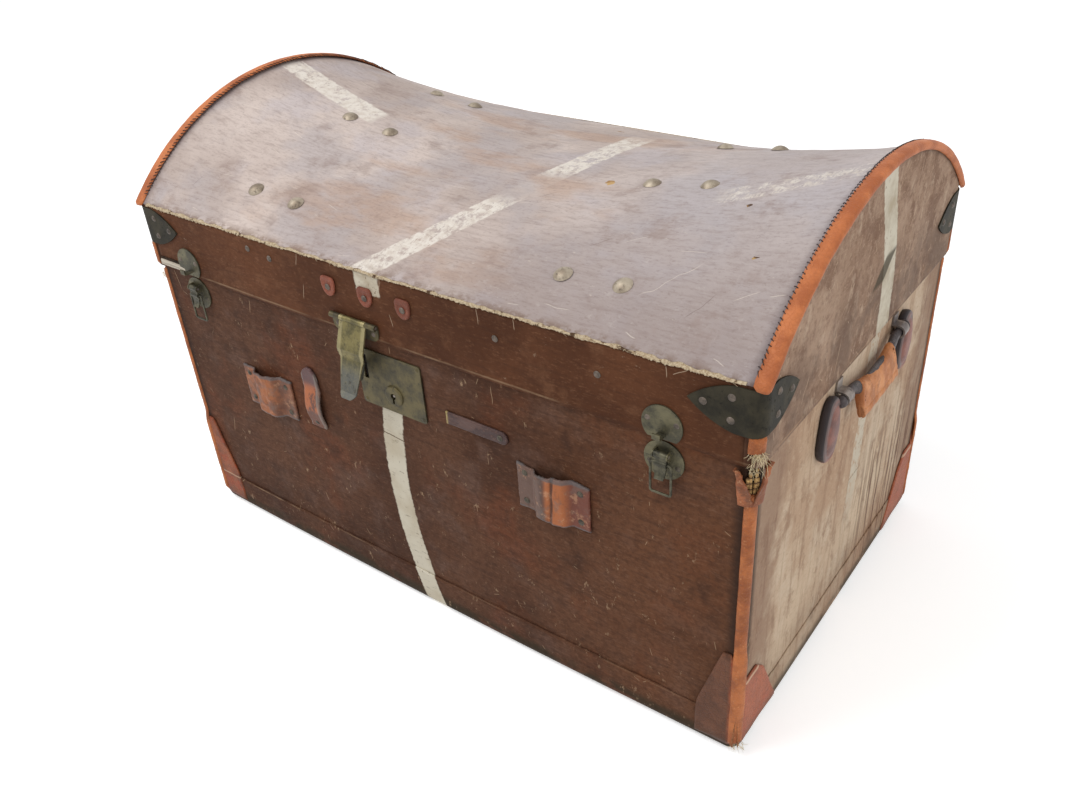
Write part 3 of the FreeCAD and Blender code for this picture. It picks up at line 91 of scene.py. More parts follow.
class Value:
    """A socket of a node tree. Operators on it add Math nodes; numbers alone stay in Python."""

    def __init__(self, tree, socket):
        self.tree = tree
        self.socket = socket

    def math(self, operation, *others):
        """Math node on this value and others."""
        return self.tree.node("ShaderNodeMath", {"operation": operation}, dict(enumerate((self, *others))))

    def flipped(self, operation, first):
        """Math node with the other value first."""
        return self.tree.node("ShaderNodeMath", {"operation": operation}, {0: first, 1: self})

    def __add__(self, other):
        return self.math("ADD", other)

    def __radd__(self, other):
        return self.flipped("ADD", other)

    def __sub__(self, other):
        return self.math("SUBTRACT", other)

    def __rsub__(self, other):
        return self.flipped("SUBTRACT", other)

    def __mul__(self, other):
        return self.math("MULTIPLY", other)

    def __rmul__(self, other):
        return self.flipped("MULTIPLY", other)

    def __truediv__(self, other):
        return self.math("DIVIDE", other)

    def __pow__(self, other):
        return self.math("POWER", other)

    def __abs__(self):
        return self.math("ABSOLUTE")

    def over(self, low, high):
        """Smooth step from 0 at low to 1 at high."""
        return self.tree.node("ShaderNodeMapRange", {"interpolation_type": "SMOOTHSTEP"},
                              {"Value": self, "From Min": low, "From Max": high})

    def most(self, other):
        """The larger of the two."""
        return self.math("MAXIMUM", other)

    def least(self, other):
        """The smaller of the two."""
        return self.math("MINIMUM", other)

    def parts(self):
        """The three numbers in a vector or a colour."""
        split = self.tree.node("ShaderNodeSeparateXYZ", inputs={0: self})
        return [Value(self.tree, out) for out in split.socket.node.outputs]


class Tree:
    """A node tree: node() adds any node, the rest are short names for what every finish uses."""

    def __init__(self, tree):
        self.tree = tree

    def node(self, kind, settings=None, inputs=None, out=0):
        """Add a node: its settings first, then the values or links of its sockets."""
        made = self.tree.nodes.new(kind)
        for key, setting in (settings or {}).items():
            setattr(made, key, setting)
        for key, value in (inputs or {}).items():
            self.plug(made.inputs[key], value)
        return Value(self, made.outputs[out])

    def plug(self, socket, value):
        """Link a value to a socket, or set a constant on it."""
        if isinstance(value, Value):
            self.tree.links.new(value.socket, socket)
        else:
            socket.default_value = value

    def seen(self):
        """1 for camera, glossy and transmission rays, 0 for the rest."""
        camera, glossy, through = (self.node("ShaderNodeLightPath", out=name) for name in
                                   ("Is Camera Ray", "Is Glossy Ray", "Is Transmission Ray"))
        return camera.most(glossy).most(through)

    def mix(self, share, first, second):
        """Colour between two, by share. Three plain numbers are a screen colour."""
        first, second = (srgb(*c) if isinstance(c, tuple) and len(c) == 3 else c for c in (first, second))
        return self.node("ShaderNodeMix", {"data_type": "RGBA"}, {0: share, 6: first, 7: second}, out=2)

    def coats(self, colour, layers):
        """Colour under a stack of layers, each a share and the colour laid over what is below."""
        for share, over in layers:
            colour = self.mix(share, colour, over)
        return colour


class Finish(Tree):
    """One material being made, from the object's own coordinates in metres."""

    def __init__(self, name, roughness=0.7, metallic=0.0, sheen=0.5):
        self.material = bpy.data.materials.new(name)
        self.material.use_nodes = True
        super().__init__(self.material.node_tree)
        self.shader = self.tree.nodes["Principled BSDF"]
        self.shader.inputs["Roughness"].default_value = roughness
        self.shader.inputs["Metallic"].default_value = metallic
        self.shader.inputs["Specular IOR Level"].default_value = sheen
        self.place = self.node("ShaderNodeTexCoord", out="Object")
        self.axes = self.place.parts()

    def scaled(self, size, stretch=(1, 1, 1), turn=(0, 0, 0), shift=(0, 0, 0)):
        """Coordinates in which a pattern of unit size comes out `size` metres, drawn out by `stretch`."""
        inputs = {"Vector": self.place, "Scale": [1 / (size * s) for s in stretch],
                  "Rotation": np.radians(turn).tolist(), "Location": shift}
        return self.node("ShaderNodeMapping", inputs=inputs)

    def noise(self, size, detail=3.0, rough=0.55, stretch=(1, 1, 1), turn=(0, 0, 0), shift=(0, 0, 0)):
        """Noise whose features are about `size` metres, drawn out by `stretch` along each axis."""
        where = self.scaled(size, stretch, turn, shift)
        return self.node("ShaderNodeTexNoise", inputs={"Vector": where, "Scale": 1.0, "Detail": detail,
                                                       "Roughness": rough})

    def cells(self, size, feature="F1"):
        """Cell pattern: distance from a cell's middle, or to its edge."""
        return self.node("ShaderNodeTexVoronoi", {"feature": feature},
                         {"Vector": self.scaled(size), "Scale": 1.0})

    def weave(self, pitch, across, along):
        """Plain weave between -1 and 1: the product of two sines a thread apart."""
        k = 2 * np.pi / pitch
        return (across * k).math("SINE") * (along * k).math("SINE")

    def nicks(self, a, b, cell, length, width, share, lean=0.0, spread=np.pi, shift=0.0):
        """Sparse scratches: one through the middle of some cells, each a short line at its own angle."""
        where = self.node("ShaderNodeCombineXYZ", inputs={0: a / cell + shift, 1: b / cell + shift})
        spot = self.node("ShaderNodeTexVoronoi", {"voronoi_dimensions": "2D"},
                         {"Vector": where, "Scale": 1.0}, out="Position")
        chance = Value(self, spot.socket.node.outputs["Color"]).parts()
        apart = self.node("ShaderNodeVectorMath", {"operation": "SUBTRACT"}, {0: where, 1: spot})
        da, db, _ = apart.parts()
        angle = chance[0] * spread + lean
        cos = angle.math("COSINE")
        sin = angle.math("SINE")
        bend = (self.noise(0.02, 1.0, 0.5) - 0.5) * (length * 0.25)
        across = abs((da * sin - db * cos) * cell + bend)
        along = abs(da * cos + db * sin) * cell
        reach = chance[2] * (length * 0.6) + length * 0.3
        line = 1 - across.over(width * 0.35, width)
        ends = 1 - (along / reach).over(0.55, 1.0)
        return line * ends * chance[1].over(1 - share, 1.01 - share)

    def done(self, colour, roughness=None, height=None, metallic=None, strength=0.5, depth=0.001):
        """Connect the finished colour, roughness and surface height (in metres over depth)."""
        if height is not None:
            bump = {"Strength": strength, "Distance": depth, "Height": height}
            height = self.node("ShaderNodeBump", inputs=bump)
        ends = {"Base Color": colour, "Roughness": roughness, "Metallic": metallic, "Normal": height}
        for name, value in ends.items():
            if value is not None:
                self.plug(self.shader.inputs[name], value)
        return self.material


CREAM = (204, 196, 178)


def flaked_paint(f, across, along, half_width, peel, soft=0.06):
    """Mask of a painted band: straight edges made uneven by noise, with chips lost from it."""
    ragged = (f.noise(0.006, 2.0, 0.6) - 0.5) * 0.005
    blur = 1.2 * MM
    edge = 1 - (abs(across) + ragged).over(half_width - blur, half_width + blur)
    chips = f.noise(0.011, 6.0, 0.75, shift=(3, 1, 2)).over(peel, peel + soft)
    cracks = f.noise(0.010, 4.0, 0.7, (0.3, 1, 1), shift=(5, 2, 1)).over(peel - 0.02, peel + 0.05)
    return edge * chips.least(cracks) * along


def canvas_base():
    """Painted canvas of the base: dark red-brown front, paler and browner ends."""
    f = Finish("painted_canvas", 0.6, sheen=0.1)
    x, y, z = f.axes
    end = abs(x).over(BASE_X - 0.008, BASE_X - 0.002)
    broad = f.noise(0.17, 3.0, 0.55)
    cloud = f.noise(0.06, 5.0, 0.62, shift=(4, 1, 7))
    red = f.noise(0.11, 4.0, 0.6, shift=(1, 8, 3))
    fine = f.noise(0.006, 5.0, 0.72)
    grain = f.noise(0.0022, 4.0, 0.7, (3, 3, 1))
    drag = f.noise(0.004, 4.0, 0.6, (9, 9, 1))
    runs = f.noise(0.010, 4.0, 0.65, (1, 1, 14))
    dark = f.noise(0.05, 5.0, 0.6, shift=(9, 3, 3)).over(0.54, 0.72)
    front = f.coats(f.mix(broad.over(0.36, 0.66), (71, 44, 30), (93, 62, 45)), [
        (cloud.over(0.48, 0.68) * 0.6, (100, 77, 67)),
        (red.over(0.48, 0.66) * 0.55, (110, 61, 38)),
        (x.over(0.08, 0.36) * 0.4, (116, 74, 47)),
        (dark * 0.6, (50, 33, 26)),
        (fine.over(0.40, 0.66) * 0.42, (56, 34, 25)),
        (grain.over(0.50, 0.72) * 0.30, (140, 104, 82)),
        (drag.over(0.48, 0.70) * 0.36, (54, 34, 25)),
    ])
    brown = f.noise(0.024, 5.0, 0.7, (1, 1, 1.8), shift=(5, 5, 1)).over(0.52, 0.66)
    streak = f.noise(0.006, 4.0, 0.6, (1, 1, 30), shift=(0, 3, 0)).over(0.50, 0.62)
    low_right = y.over(0.0, 0.10) * (1 - z.over(0.12, 0.26))
    near = 1 - (BASE_Y - abs(y) + (cloud - 0.5) * 0.10).over(0.035, 0.085)
    side = f.coats(f.mix(broad.over(0.35, 0.7), (178, 148, 122), (206, 184, 158)), [
        (cloud.over(0.44, 0.66) * 0.55, (212, 195, 172)),
        (runs.over(0.48, 0.70) * 0.5, (136, 102, 78)),
        (brown * 0.5, (128, 94, 71)),
        (fine.over(0.52, 0.76) * 0.5, (216, 200, 176)),
        (grain.over(0.50, 0.72) * 0.32, (118, 88, 68)),
        (streak * low_right * 0.8, (92, 60, 42)),
        ((1 - z.over(0.02, 0.12)) * 0.3, (124, 92, 70)),
        (near * 0.5, (118, 90, 76)),
    ])
    colour = f.mix(end, front, side)
    stain = f.noise(0.05, 4.0, 0.6, shift=(1, 4, 2)).over(0.45, 0.7) * (1 - z.over(0.0, 0.12))
    # Dark bands on the canvas beside the upright corner bindings: painted shadow along the bindings' edges.
    front_corner_shadow = (1 - (BASE_X - abs(x)).over(0.010, 0.022)) * (1 - end)
    end_corner_shadow = (1 - (BASE_Y - abs(y)).over(0.010, 0.020)) * end
    seam = 1 - abs(z - SEAM_Z - (f.noise(0.2, 2.0) - 0.5) * 0.004).over(0.0005, 0.0014)
    worn = f.noise(0.04, 4.0, 0.6, (3, 3, 1), shift=(6, 1, 1)).over(0.46, 0.6)
    foot = (1 - z.over(0.014, 0.028)) * f.noise(0.03, 4.0, 0.6, (2, 2, 1)).over(0.36, 0.52)
    slope = x + y
    marks = f.nicks(slope, z, 0.050, 0.016, 0.0005, 0.13, 0.6, 1.6)
    marks = marks.most(f.nicks(slope, z, 0.024, 0.007, 0.0005, 0.08, 0.0, 3.1, 8.1) * 0.8)
    scuff = f.noise(0.006, 5.0, 0.78, (1, 1, 2.2), (0, 20, 0), shift=(3, 9, 2)).over(0.585, 0.66)
    scuff = scuff * (f.noise(0.030, 3.0, 0.6, shift=(7, 2, 2)) - z * 0.12).over(0.50, 0.60)
    marks = marks.most(scuff * 0.9)
    colour = f.coats(colour, [
        (stain * 0.45, (54, 38, 29)),
        (front_corner_shadow.most(end_corner_shadow) * 0.75, (38, 27, 22)),
        (seam * worn * (0.6 - x.over(-0.28, -0.05) * 0.5), (170, 144, 116)),
        (foot * 0.75, (46, 42, 30)),
        (marks * 0.62, (188, 158, 126)),
    ])
    drop = BAND_TOP - z
    centre = -0.0215 + drop * -0.178 + drop ** 2 * 0.99
    band = flaked_paint(f, x - centre, (1 - end) * (1 - z.over(0.300, 0.304)), 0.0150, 0.29)
    band = band * (1 - y.over(-0.2, -0.19))
    side_centre = 0.019 + (z - 0.2) * 0.06
    fade = z.over(0.10, 0.20) * 0.75 + 0.05
    band_end = flaked_paint(f, y - side_centre, end * fade, 0.0125, 0.40)
    paint = f.mix(cloud.over(0.4, 0.7), CREAM, (186, 174, 152))
    crack = 1 - abs(z - 0.2420 + (x - centre) * 0.12 + (fine - 0.5) * 0.003).over(0.0003, 0.0011)
    flecks = f.noise(0.004, 4.0, 0.7, (4, 4, 1), shift=(6, 6, 6)).over(0.60, 0.68) * 0.5
    paint = f.mix(crack.most(flecks), paint, (96, 78, 60))
    colour = f.mix(band.most(band_end), colour, paint)
    threads = f.weave(THREAD, slope, z)
    height = threads * 0.10 + fine * 0.5 + grain * 0.3 + band * 0.5 - marks * 0.4
    return f.done(colour, 0.55 + fine * 0.25, height, strength=0.5, depth=0.0008)


def dome_height(y):
    """Height of the end's arch: a circle over the rim, as a value of the distance across."""
    radius = (LID_Y ** 2 + END_RISE ** 2) / (2 * END_RISE)
    return (radius ** 2 - (y - LID_MID) ** 2) ** 0.5 + (RIM_TOP + END_RISE - radius)


def canvas_rim():
    """Painted canvas of the lid's rim and ends, warmer than the base's."""
    f = Finish("rim_canvas_paint", 0.6, sheen=0.1)
    x, y, z = f.axes
    end = abs(x).over(LID_X - 0.008, LID_X - 0.002)
    broad = f.noise(0.13, 3.0, 0.5)
    cloud = f.noise(0.040, 5.0, 0.66, shift=(2, 6, 1))
    fine = f.noise(0.006, 5.0, 0.72)
    grain = f.noise(0.0022, 4.0, 0.7, (3, 3, 1))
    drag = f.noise(0.004, 4.0, 0.6, (9, 9, 1))
    front = f.coats(f.mix(broad.over(0.35, 0.7), (74, 43, 26), (98, 60, 38)), [
        (cloud.over(0.50, 0.70) * 0.5, (120, 82, 58)),
        (drag.over(0.46, 0.72) * 0.35, (58, 34, 23)),
        (fine.over(0.42, 0.7) * 0.3, (64, 38, 26)),
        (grain.over(0.52, 0.74) * 0.3, (150, 108, 80)),
    ])
    speck = f.noise(0.016, 5.0, 0.72, (1, 1, 1.6), shift=(7, 7, 7)).over(0.53, 0.66)
    low = (1 - z.over(0.40, 0.47)) * f.noise(0.05, 4.0, 0.6, shift=(2, 2, 9)).over(0.36, 0.6)
    side = f.coats(f.mix(broad.over(0.35, 0.7), (140, 111, 90), (168, 141, 120)), [
        (cloud.over(0.46, 0.62) * 0.7, (112, 82, 64)),
        (speck * 0.6, (190, 166, 144)),
        (fine.over(0.46, 0.72) * 0.5, (100, 74, 58)),
        (grain.over(0.52, 0.72) * 0.4, (192, 168, 144)),
        (low * 0.6, (98, 80, 70)),
    ])
    colour = f.mix(end, front, side)
    # Dark band on the rim beside the lid's corner bindings: painted shadow along their edges.
    front_corner_shadow = (1 - (LID_X - abs(x)).over(0.010, 0.020)) * (1 - end)
    under = dome_height(y) - z
    edge = 1 - abs(z - LID_BOTTOM - 0.0030).over(0.0005, 0.0014)
    worn = f.noise(0.05, 4.0, 0.6, (3, 3, 1)).over(0.46, 0.6)
    slope = x + y
    marks = f.nicks(slope, z, 0.040, 0.014, 0.0005, 0.22, 0.3, 1.6)
    marks = marks.most(f.nicks(slope, z, 0.018, 0.008, 0.0005, 0.45, 0.6, 1.8, 4.4) * end)
    marks = marks.most(f.nicks(slope, z, 0.060, 0.028, 0.0006, 0.4, 0.9, 0.9, 2.2) * end)
    scuff = f.noise(0.005, 5.0, 0.75, (2, 2, 1), shift=(3, 9, 2)).over(0.62, 0.70)
    scuff = scuff * f.noise(0.035, 3.0, 0.6, shift=(7, 2, 2)).over(0.52, 0.66)
    marks = marks.most(scuff * 0.8)
    colour = f.coats(colour, [
        (front_corner_shadow * 0.6, (44, 30, 23)),
        # Darker band just under the arch on the ends: painted shadow of the welt, which stands proud of the
        # end.
        ((1 - under.over(0.004, 0.013)) * end * 0.6, (74, 54, 44)),
        (edge * worn * 0.5, (166, 136, 106)),
        (marks * 0.6, (196, 172, 146)),
    ])
    patch = (z + (fine - 0.5) * 0.008).over(0.419, 0.421)
    band = flaked_paint(f, x + 0.0235, (1 - end) * patch, 0.0165, 0.33) * (1 - y.over(-0.2, -0.19))
    side_centre = 0.030 - (z - 0.40).over(0.0, 0.20) * 0.045
    band_end = flaked_paint(f, y - side_centre, end, 0.0165, 0.31)
    paint = f.mix(cloud.over(0.4, 0.7), (206, 198, 180), (176, 162, 140))
    colour = f.mix(band.most(band_end), colour, paint)
    gouge = abs((y - 0.013) * 0.8 - (z - 0.438) * 0.9)
    gouge = (1 - gouge.over(0.009, 0.013)) * end
    gouge = gouge * (1 - abs(z - 0.438).over(0.010, 0.016)) * x.over(0.0, 0.01)
    colour = f.mix(gouge * 0.85, colour, (66, 58, 42))
    threads = f.weave(THREAD, slope, z)
    height = threads * 0.10 + fine * 0.5 + grain * 0.3 + band_end * 0.4 - marks * 0.4
    return f.done(colour, 0.55 + fine * 0.25, height, strength=0.5, depth=0.0008)


def canvas_dome():
    """Sun-bleached canvas of the saddle, with one painted band across it and one along it."""
    f = Finish("bleached_canvas", 0.62, sheen=0.2)
    x, y, _ = f.axes
    broad = f.noise(0.16, 4.0, 0.55)
    grey = f.noise(0.13, 4.0, 0.6, shift=(3, 7, 1))
    lilac = f.noise(0.10, 4.0, 0.6, shift=(8, 2, 5))
    fine = f.noise(0.009, 6.0, 0.7)
    drag = f.noise(0.0035, 4.0, 0.65, (9, 1.2, 1.2), turn=(0, 0, 8))
    tan = f.noise(0.07, 5.0, 0.6, (2.2, 1, 1), shift=(1, 6, 4)).over(0.50, 0.66)
    shade = (1 - y.over(-0.24, -0.06)) * x.over(0.00, 0.16)
    grain = f.noise(0.0022, 4.0, 0.7, (2.5, 1, 1))
    marks = f.nicks(x, y, 0.045, 0.020, 0.0005, 0.26, -0.3, 0.9)
    marks = marks.most(f.nicks(x, y, 0.075, 0.036, 0.0006, 0.30, -0.4, 1.4, 5.1))
    scuff = f.noise(0.005, 5.0, 0.75, (2.4, 1, 1), shift=(3, 9, 2)).over(0.60, 0.68)
    scuff = scuff * f.noise(0.035, 3.0, 0.6, shift=(7, 2, 2)).over(0.52, 0.66)
    marks = marks.most(scuff * 0.8)
    dark = f.nicks(x, y, 0.060, 0.022, 0.0005, 0.22, 0.0, 1.4, 2.3)
    colour = f.coats(f.mix(broad.over(0.36, 0.64), (178, 162, 154), (204, 189, 181)), [
        (grey.over(0.46, 0.62) * 0.55, (170, 162, 164)),
        (lilac.over(0.50, 0.68) * 0.5, (188, 180, 184)),
        (x.over(0.02, 0.30) * 0.35, (188, 184, 190)),
        (tan * (1 - abs(x + 0.02).over(0.10, 0.30)) * 0.6, (178, 148, 128)),
        (shade * (0.35 + broad.over(0.3, 0.6) * 0.35), (138, 122, 117)),
        (f.noise(0.05, 5.0, 0.66, shift=(5, 1, 2)).over(0.53, 0.70) * 0.5, (146, 126, 118)),
        (drag.over(0.44, 0.72) * 0.34, (132, 114, 108)),
        (grain.over(0.50, 0.70) * 0.35, (122, 104, 98)),
        (fine.over(0.55, 0.8) * 0.35, (206, 196, 190)),
        (marks * 0.5, (220, 208, 196)),
        (dark * 0.4, (104, 86, 80)),
    ])
    t = y + 0.248
    cross = x - (t * 0.66 - t ** 2 * 1.07 - 0.030)
    rubbed = 1 - (1 - abs(t - 0.178).over(0.018, 0.048)) * 0.9
    band = flaked_paint(f, cross, (1 - t.over(0.34, 0.40)) * rubbed, 0.017, 0.37, 0.16)
    left = flaked_paint(f, y - 0.014 + (x + 0.384) * 0.166, 1 - x.over(-0.225, -0.210), 0.017, 0.35, 0.14)
    right = flaked_paint(f, y + 0.059 - (x - 0.266) * 0.372, x.over(0.255, 0.285), 0.016, 0.43, 0.16)
    bands = band.most(left).most(right * 0.8)
    colour = f.mix(bands, colour, f.mix(fine.over(0.4, 0.7), (222, 214, 204), (204, 192, 180)))
    rim = (1 - (LID_Y - abs(y - LID_MID)).over(-0.001, 0.008)) * f.noise(0.012, 5.0, 0.7).over(0.42, 0.58)
    # Darker strip along both ends of the dome beside the welts: painted shade.
    welt_side_shade = (1 - (LID_X - abs(x)).over(0.008, 0.020)) * 0.55
    colour = f.coats(colour, [
        (rim * 0.6, (112, 86, 66)),
        (welt_side_shade, (96, 84, 88)),
    ])
    threads = f.weave(THREAD, x, y)
    height = threads * 0.10 + fine * 0.5 + drag * 0.4 + bands * 0.4 - marks * 0.4 - dark * 0.4
    return f.done(colour, 0.52 + fine * 0.25, height, strength=0.5, depth=0.0008)


def leather(name, dark, body, worn, gloss=0.5, wear=0.55, crazed=0.4, patches=None, sheen=0.3):
    """Rubbed leather: broad stains, crazed creases and worn paler crests; patches add a second stain."""
    f = Finish(name, gloss, sheen=sheen)
    broad = f.noise(0.030, 4.0, 0.6)
    fine = f.noise(0.004, 5.0, 0.7)
    pores = f.cells(0.0014)
    creases = f.cells(0.004, "DISTANCE_TO_EDGE").over(0.0, 0.12)
    colour = f.mix(broad.over(0.36, 0.64), body, dark)
    if patches:
        colour = f.mix(f.noise(0.021, 5.0, 0.65, shift=(4, 4, 9)).over(0.50, 0.60) * 0.8, colour, patches)
    colour = f.mix(fine.over(wear, wear + 0.2) * 0.7, colour, worn)
    colour = f.mix((1 - creases) * crazed, colour, dark)
    height = creases * 0.6 + pores * 0.25 + fine * 0.6
    return f.done(colour, gloss - 0.1 + fine * 0.3, height, strength=0.55, depth=0.0008)


def corner_hide():
    """Corner leather: red-brown, its front right leaf still under the wall's brown paint."""
    f = Finish("corner_hide", 0.5, sheen=0.2)
    x, y, z = f.axes
    broad = f.noise(0.030, 4.0, 0.6)
    fine = f.noise(0.004, 5.0, 0.7)
    creases = f.cells(0.005, "DISTANCE_TO_EDGE").over(0.0, 0.10)
    painted = x.over(0.0, 0.01) * (1 - x.over(BASE_X - 0.012, BASE_X - 0.008)) * (1 - y.over(-0.2, -0.1))
    paint = f.mix(broad.over(0.4, 0.6), (86, 56, 40), (108, 70, 50))
    paint = f.mix(fine.over(0.5, 0.72) * 0.4, paint, (60, 40, 30))
    colour = f.coats(f.mix(broad.over(0.38, 0.62), (148, 84, 54), (112, 62, 42)), [
        (f.noise(0.018, 5.0, 0.65, shift=(4, 4, 9)).over(0.50, 0.60) * 0.7, (150, 66, 38)),
        (fine.over(0.55, 0.75) * 0.5, (178, 128, 96)),
        (abs(x).over(BASE_X - 0.002, BASE_X) * x.over(0.0, 0.01) * 0.5, (190, 112, 84)),
    ])
    seam = (1 - abs(z - (SEAM_Z + 2 * MM)).over(0.0006, 0.0016)) * (1 - x.over(-0.2, -0.1)) * 0.7
    crown = (1 - abs(z - 0.0985).over(0.0008, 0.0024)) * x.over(BASE_X - 0.004, BASE_X) * 0.7
    low = (1 - z.over(0.010, 0.030)) * 0.5
    colour = f.coats(f.mix(painted * 0.94, colour, paint), [
        ((1 - creases) * 0.35, (62, 38, 28)),
        (seam, (186, 160, 132)),
        (crown, (206, 178, 150)),
        (low, (54, 42, 32)),
    ])
    return f.done(colour, 0.40 + fine * 0.3, creases * 0.5 + fine * 0.6, strength=0.55, depth=0.0008)


def lobe_hide():
    """Handle lobes: dark grey at their sides, reddish on the face, worn to orange at the lower tip."""
    f = Finish("lobe_hide", 0.42, sheen=0.35)
    x, _, z = f.axes
    broad = f.noise(0.016, 4.0, 0.6)
    fine = f.noise(0.004, 5.0, 0.7)
    face = (abs(x) - BASE_X).over(0.0080, 0.0100)
    # Pale line round the face: painted highlight on the piping.
    piping_highlight = 1 - abs(abs(x) - BASE_X - 0.0088).over(0.0004, 0.0012)
    tip = 1 - (z + broad * 0.012).over(0.284, 0.296)
    colour = f.coats(f.mix(broad.over(0.4, 0.6), (132, 84, 72), (102, 70, 64)), [
        (fine.over(0.52, 0.7) * 0.5, (164, 122, 108)),
        (1 - face, (52, 46, 48)),
        (piping_highlight * 0.6, (120, 108, 106)),
        (tip * 0.75, (172, 100, 62)),
    ])
    return f.done(colour, 0.34 + fine * 0.3, fine, strength=0.5, depth=0.0008)


def keeper_hide():
    """Strap keepers: the left a worn orange panel, the right purplish, orange at its fold, then red."""
    f = Finish("keeper_hide", 0.45, sheen=0.25)
    x, _, z = f.axes
    broad = f.noise(0.022, 4.0, 0.62)
    fine = f.noise(0.004, 5.0, 0.7)
    streaks = f.noise(0.0035, 4.0, 0.6, (1, 1, 7))
    on_right = x.over(0.0, 0.01)
    across = x - KEEPER_RIGHT[0]
    left = f.coats(f.mix(broad.over(0.40, 0.60), (160, 98, 62), (112, 70, 50)), [
        ((x - KEEPER_LEFT[0]).over(0.006, 0.030) * 0.55, (98, 72, 62)),
    ])
    # Dark line along the right keeper's crease: painted shade in the fold.
    fold = 1 - abs(across - 0.004 - (z - KEEPER_RIGHT[1]) * 0.06).over(0.0008, 0.0028)
    right = f.coats(f.mix(across.over(-0.008, -0.002), (104, 80, 70), (166, 98, 58)), [
        (across.over(0.016, 0.024), (110, 62, 48)),
        (fold * 0.85, (62, 36, 28)),
        ((1 - abs(across + 0.006).over(0.001, 0.006)) * 0.6, (66, 48, 42)),
    ])
    colour = f.mix(on_right, left, right)
    grey = f.noise(0.014, 4.0, 0.62, shift=(2, 8, 1)).over(0.52, 0.64)
    rub = f.noise(0.012, 5.0, 0.7, shift=(6, 3, 2)).over(0.56, 0.68)
    rim = abs(z - (on_right * (KEEPER_RIGHT[1] - KEEPER_LEFT[1]) + KEEPER_LEFT[1])).over(0.0240, 0.0265)
    colour = f.coats(colour, [
        (grey * 0.45, (106, 92, 84)),
        (rub * 0.5, (190, 146, 112)),
        (streaks.over(0.54, 0.75) * 0.35, (74, 48, 40)),
        (fine.over(0.5, 0.7) * 0.3, (80, 54, 44)),
        (rim * 0.8, (92, 88, 88)),
    ])
    height = fine * 0.6 + streaks * 0.4 - fold
    return f.done(colour, 0.36 + fine * 0.3, height, strength=0.6, depth=0.0009)


def stub_hide():
    """Torn strap: purple-brown root, torn orange belly, brown end with a grey rim."""
    f = Finish("stub_hide", 0.45, sheen=0.3)
    x, _, z = f.axes
    fine = f.noise(0.004, 5.0, 0.7)
    torn = f.noise(0.012, 5.0, 0.7, (1, 1, 2.2), shift=(1, 1, 4))
    colour = f.mix(fine.over(0.4, 0.7), (86, 56, 48), (116, 74, 58))
    belly = z.over(0.232, 0.240) * (1 - z.over(0.268, 0.278))
    high = z.over(0.262, 0.276)
    low = 1 - z.over(0.228, 0.236)
    rim = abs(x - STUB[0]).over(0.0086, 0.0106)
    colour = f.coats(colour, [
        (belly * torn.over(0.42, 0.54) * 0.9, (176, 102, 62)),
        (high * 0.6, (92, 72, 76)),
        (low * 0.7, (104, 60, 40)),
        (rim * 0.65, (140, 130, 122)),
    ])
    return f.done(colour, 0.38 + fine * 0.3, fine + torn * 0.5, strength=0.6, depth=0.0009)


def tab_hide():
    """Short strap end: dark purplish hide, a little rubbed along its top edge."""
    f = Finish("tab_hide", 0.45, sheen=0.3)
    x, _, _ = f.axes
    fine = f.noise(0.004, 5.0, 0.7)
    broad = f.noise(0.018, 4.0, 0.6, (2, 1, 1))
    brass_side = 1 - (x - TAB[0]).over(-0.0385, -0.0360)
    colour = f.coats(f.mix(broad.over(0.4, 0.62), (62, 42, 40), (88, 64, 58)), [
        (fine.over(0.5, 0.72) * 0.4, (120, 90, 76)),
        (brass_side * 0.8, (166, 146, 92)),
    ])
    return f.done(colour, 0.38 + fine * 0.3, fine, strength=0.6, depth=0.0008)


def metal(name, bright, dull, stain, roughness, shine, size=0.018, sheen=0.5):
    """Aged metal: bright where rubbed, dull elsewhere, with dark stains and pits."""
    f = Finish(name, roughness, shine, sheen=sheen)
    broad = f.noise(size, 4.0, 0.6)
    fine = f.noise(0.0022, 4.0, 0.7)
    spots = f.noise(0.006, 5.0, 0.75, shift=(2, 3, 4)).over(0.55, 0.68)
    scrapes = f.noise(0.0014, 3.0, 0.6, (1, 1, 12), turn=(20, 34, 0)).over(0.60, 0.72)
    colour = f.mix(broad.over(0.35, 0.65), dull, bright)
    colour = f.mix(fine.over(0.5, 0.7) * 0.4, colour, bright)
    colour = f.mix(scrapes * 0.35, colour, bright)
    colour = f.mix(spots * 0.75, colour, stain)
    rough = roughness + spots * 0.25 + fine * 0.15
    return f.done(colour, rough, fine * 0.6 - spots * 0.5, shine - spots * 0.5, strength=0.4, depth=0.0004)


def hasp_metal():
    """Hasp: olive brass above, bright along its edges, greyer and bluer towards its lower end as a painted
    highlight.
    """
    f = Finish("hasp_metal", 0.42, 0.7)
    x, _, z = f.axes
    broad = f.noise(0.014, 4.0, 0.62)
    fine = f.noise(0.0022, 4.0, 0.7)
    spots = f.noise(0.006, 5.0, 0.75, shift=(2, 3, 4)).over(0.54, 0.68)
    edge = abs(x - HASP_X).over(0.0125, 0.0150)
    colour = f.coats(f.mix(broad.over(0.38, 0.62), (84, 78, 52), (122, 112, 72)), [
        # Grey-blue lower end: painted highlight where the hasp's end bends out and faces up.
        ((1 - z.over(0.325, 0.345)) * 0.75, (92, 94, 94)),
        (fine.over(0.5, 0.7) * 0.3, (150, 140, 104)),
        (edge * 0.5, (172, 160, 120)),
        (spots * 0.7, (58, 52, 38)),
    ])
    return f.done(colour, 0.40 + spots * 0.25 + fine * 0.15, fine * 0.6 - spots * 0.5, 0.7 - spots * 0.4,
                  strength=0.4, depth=0.0004)


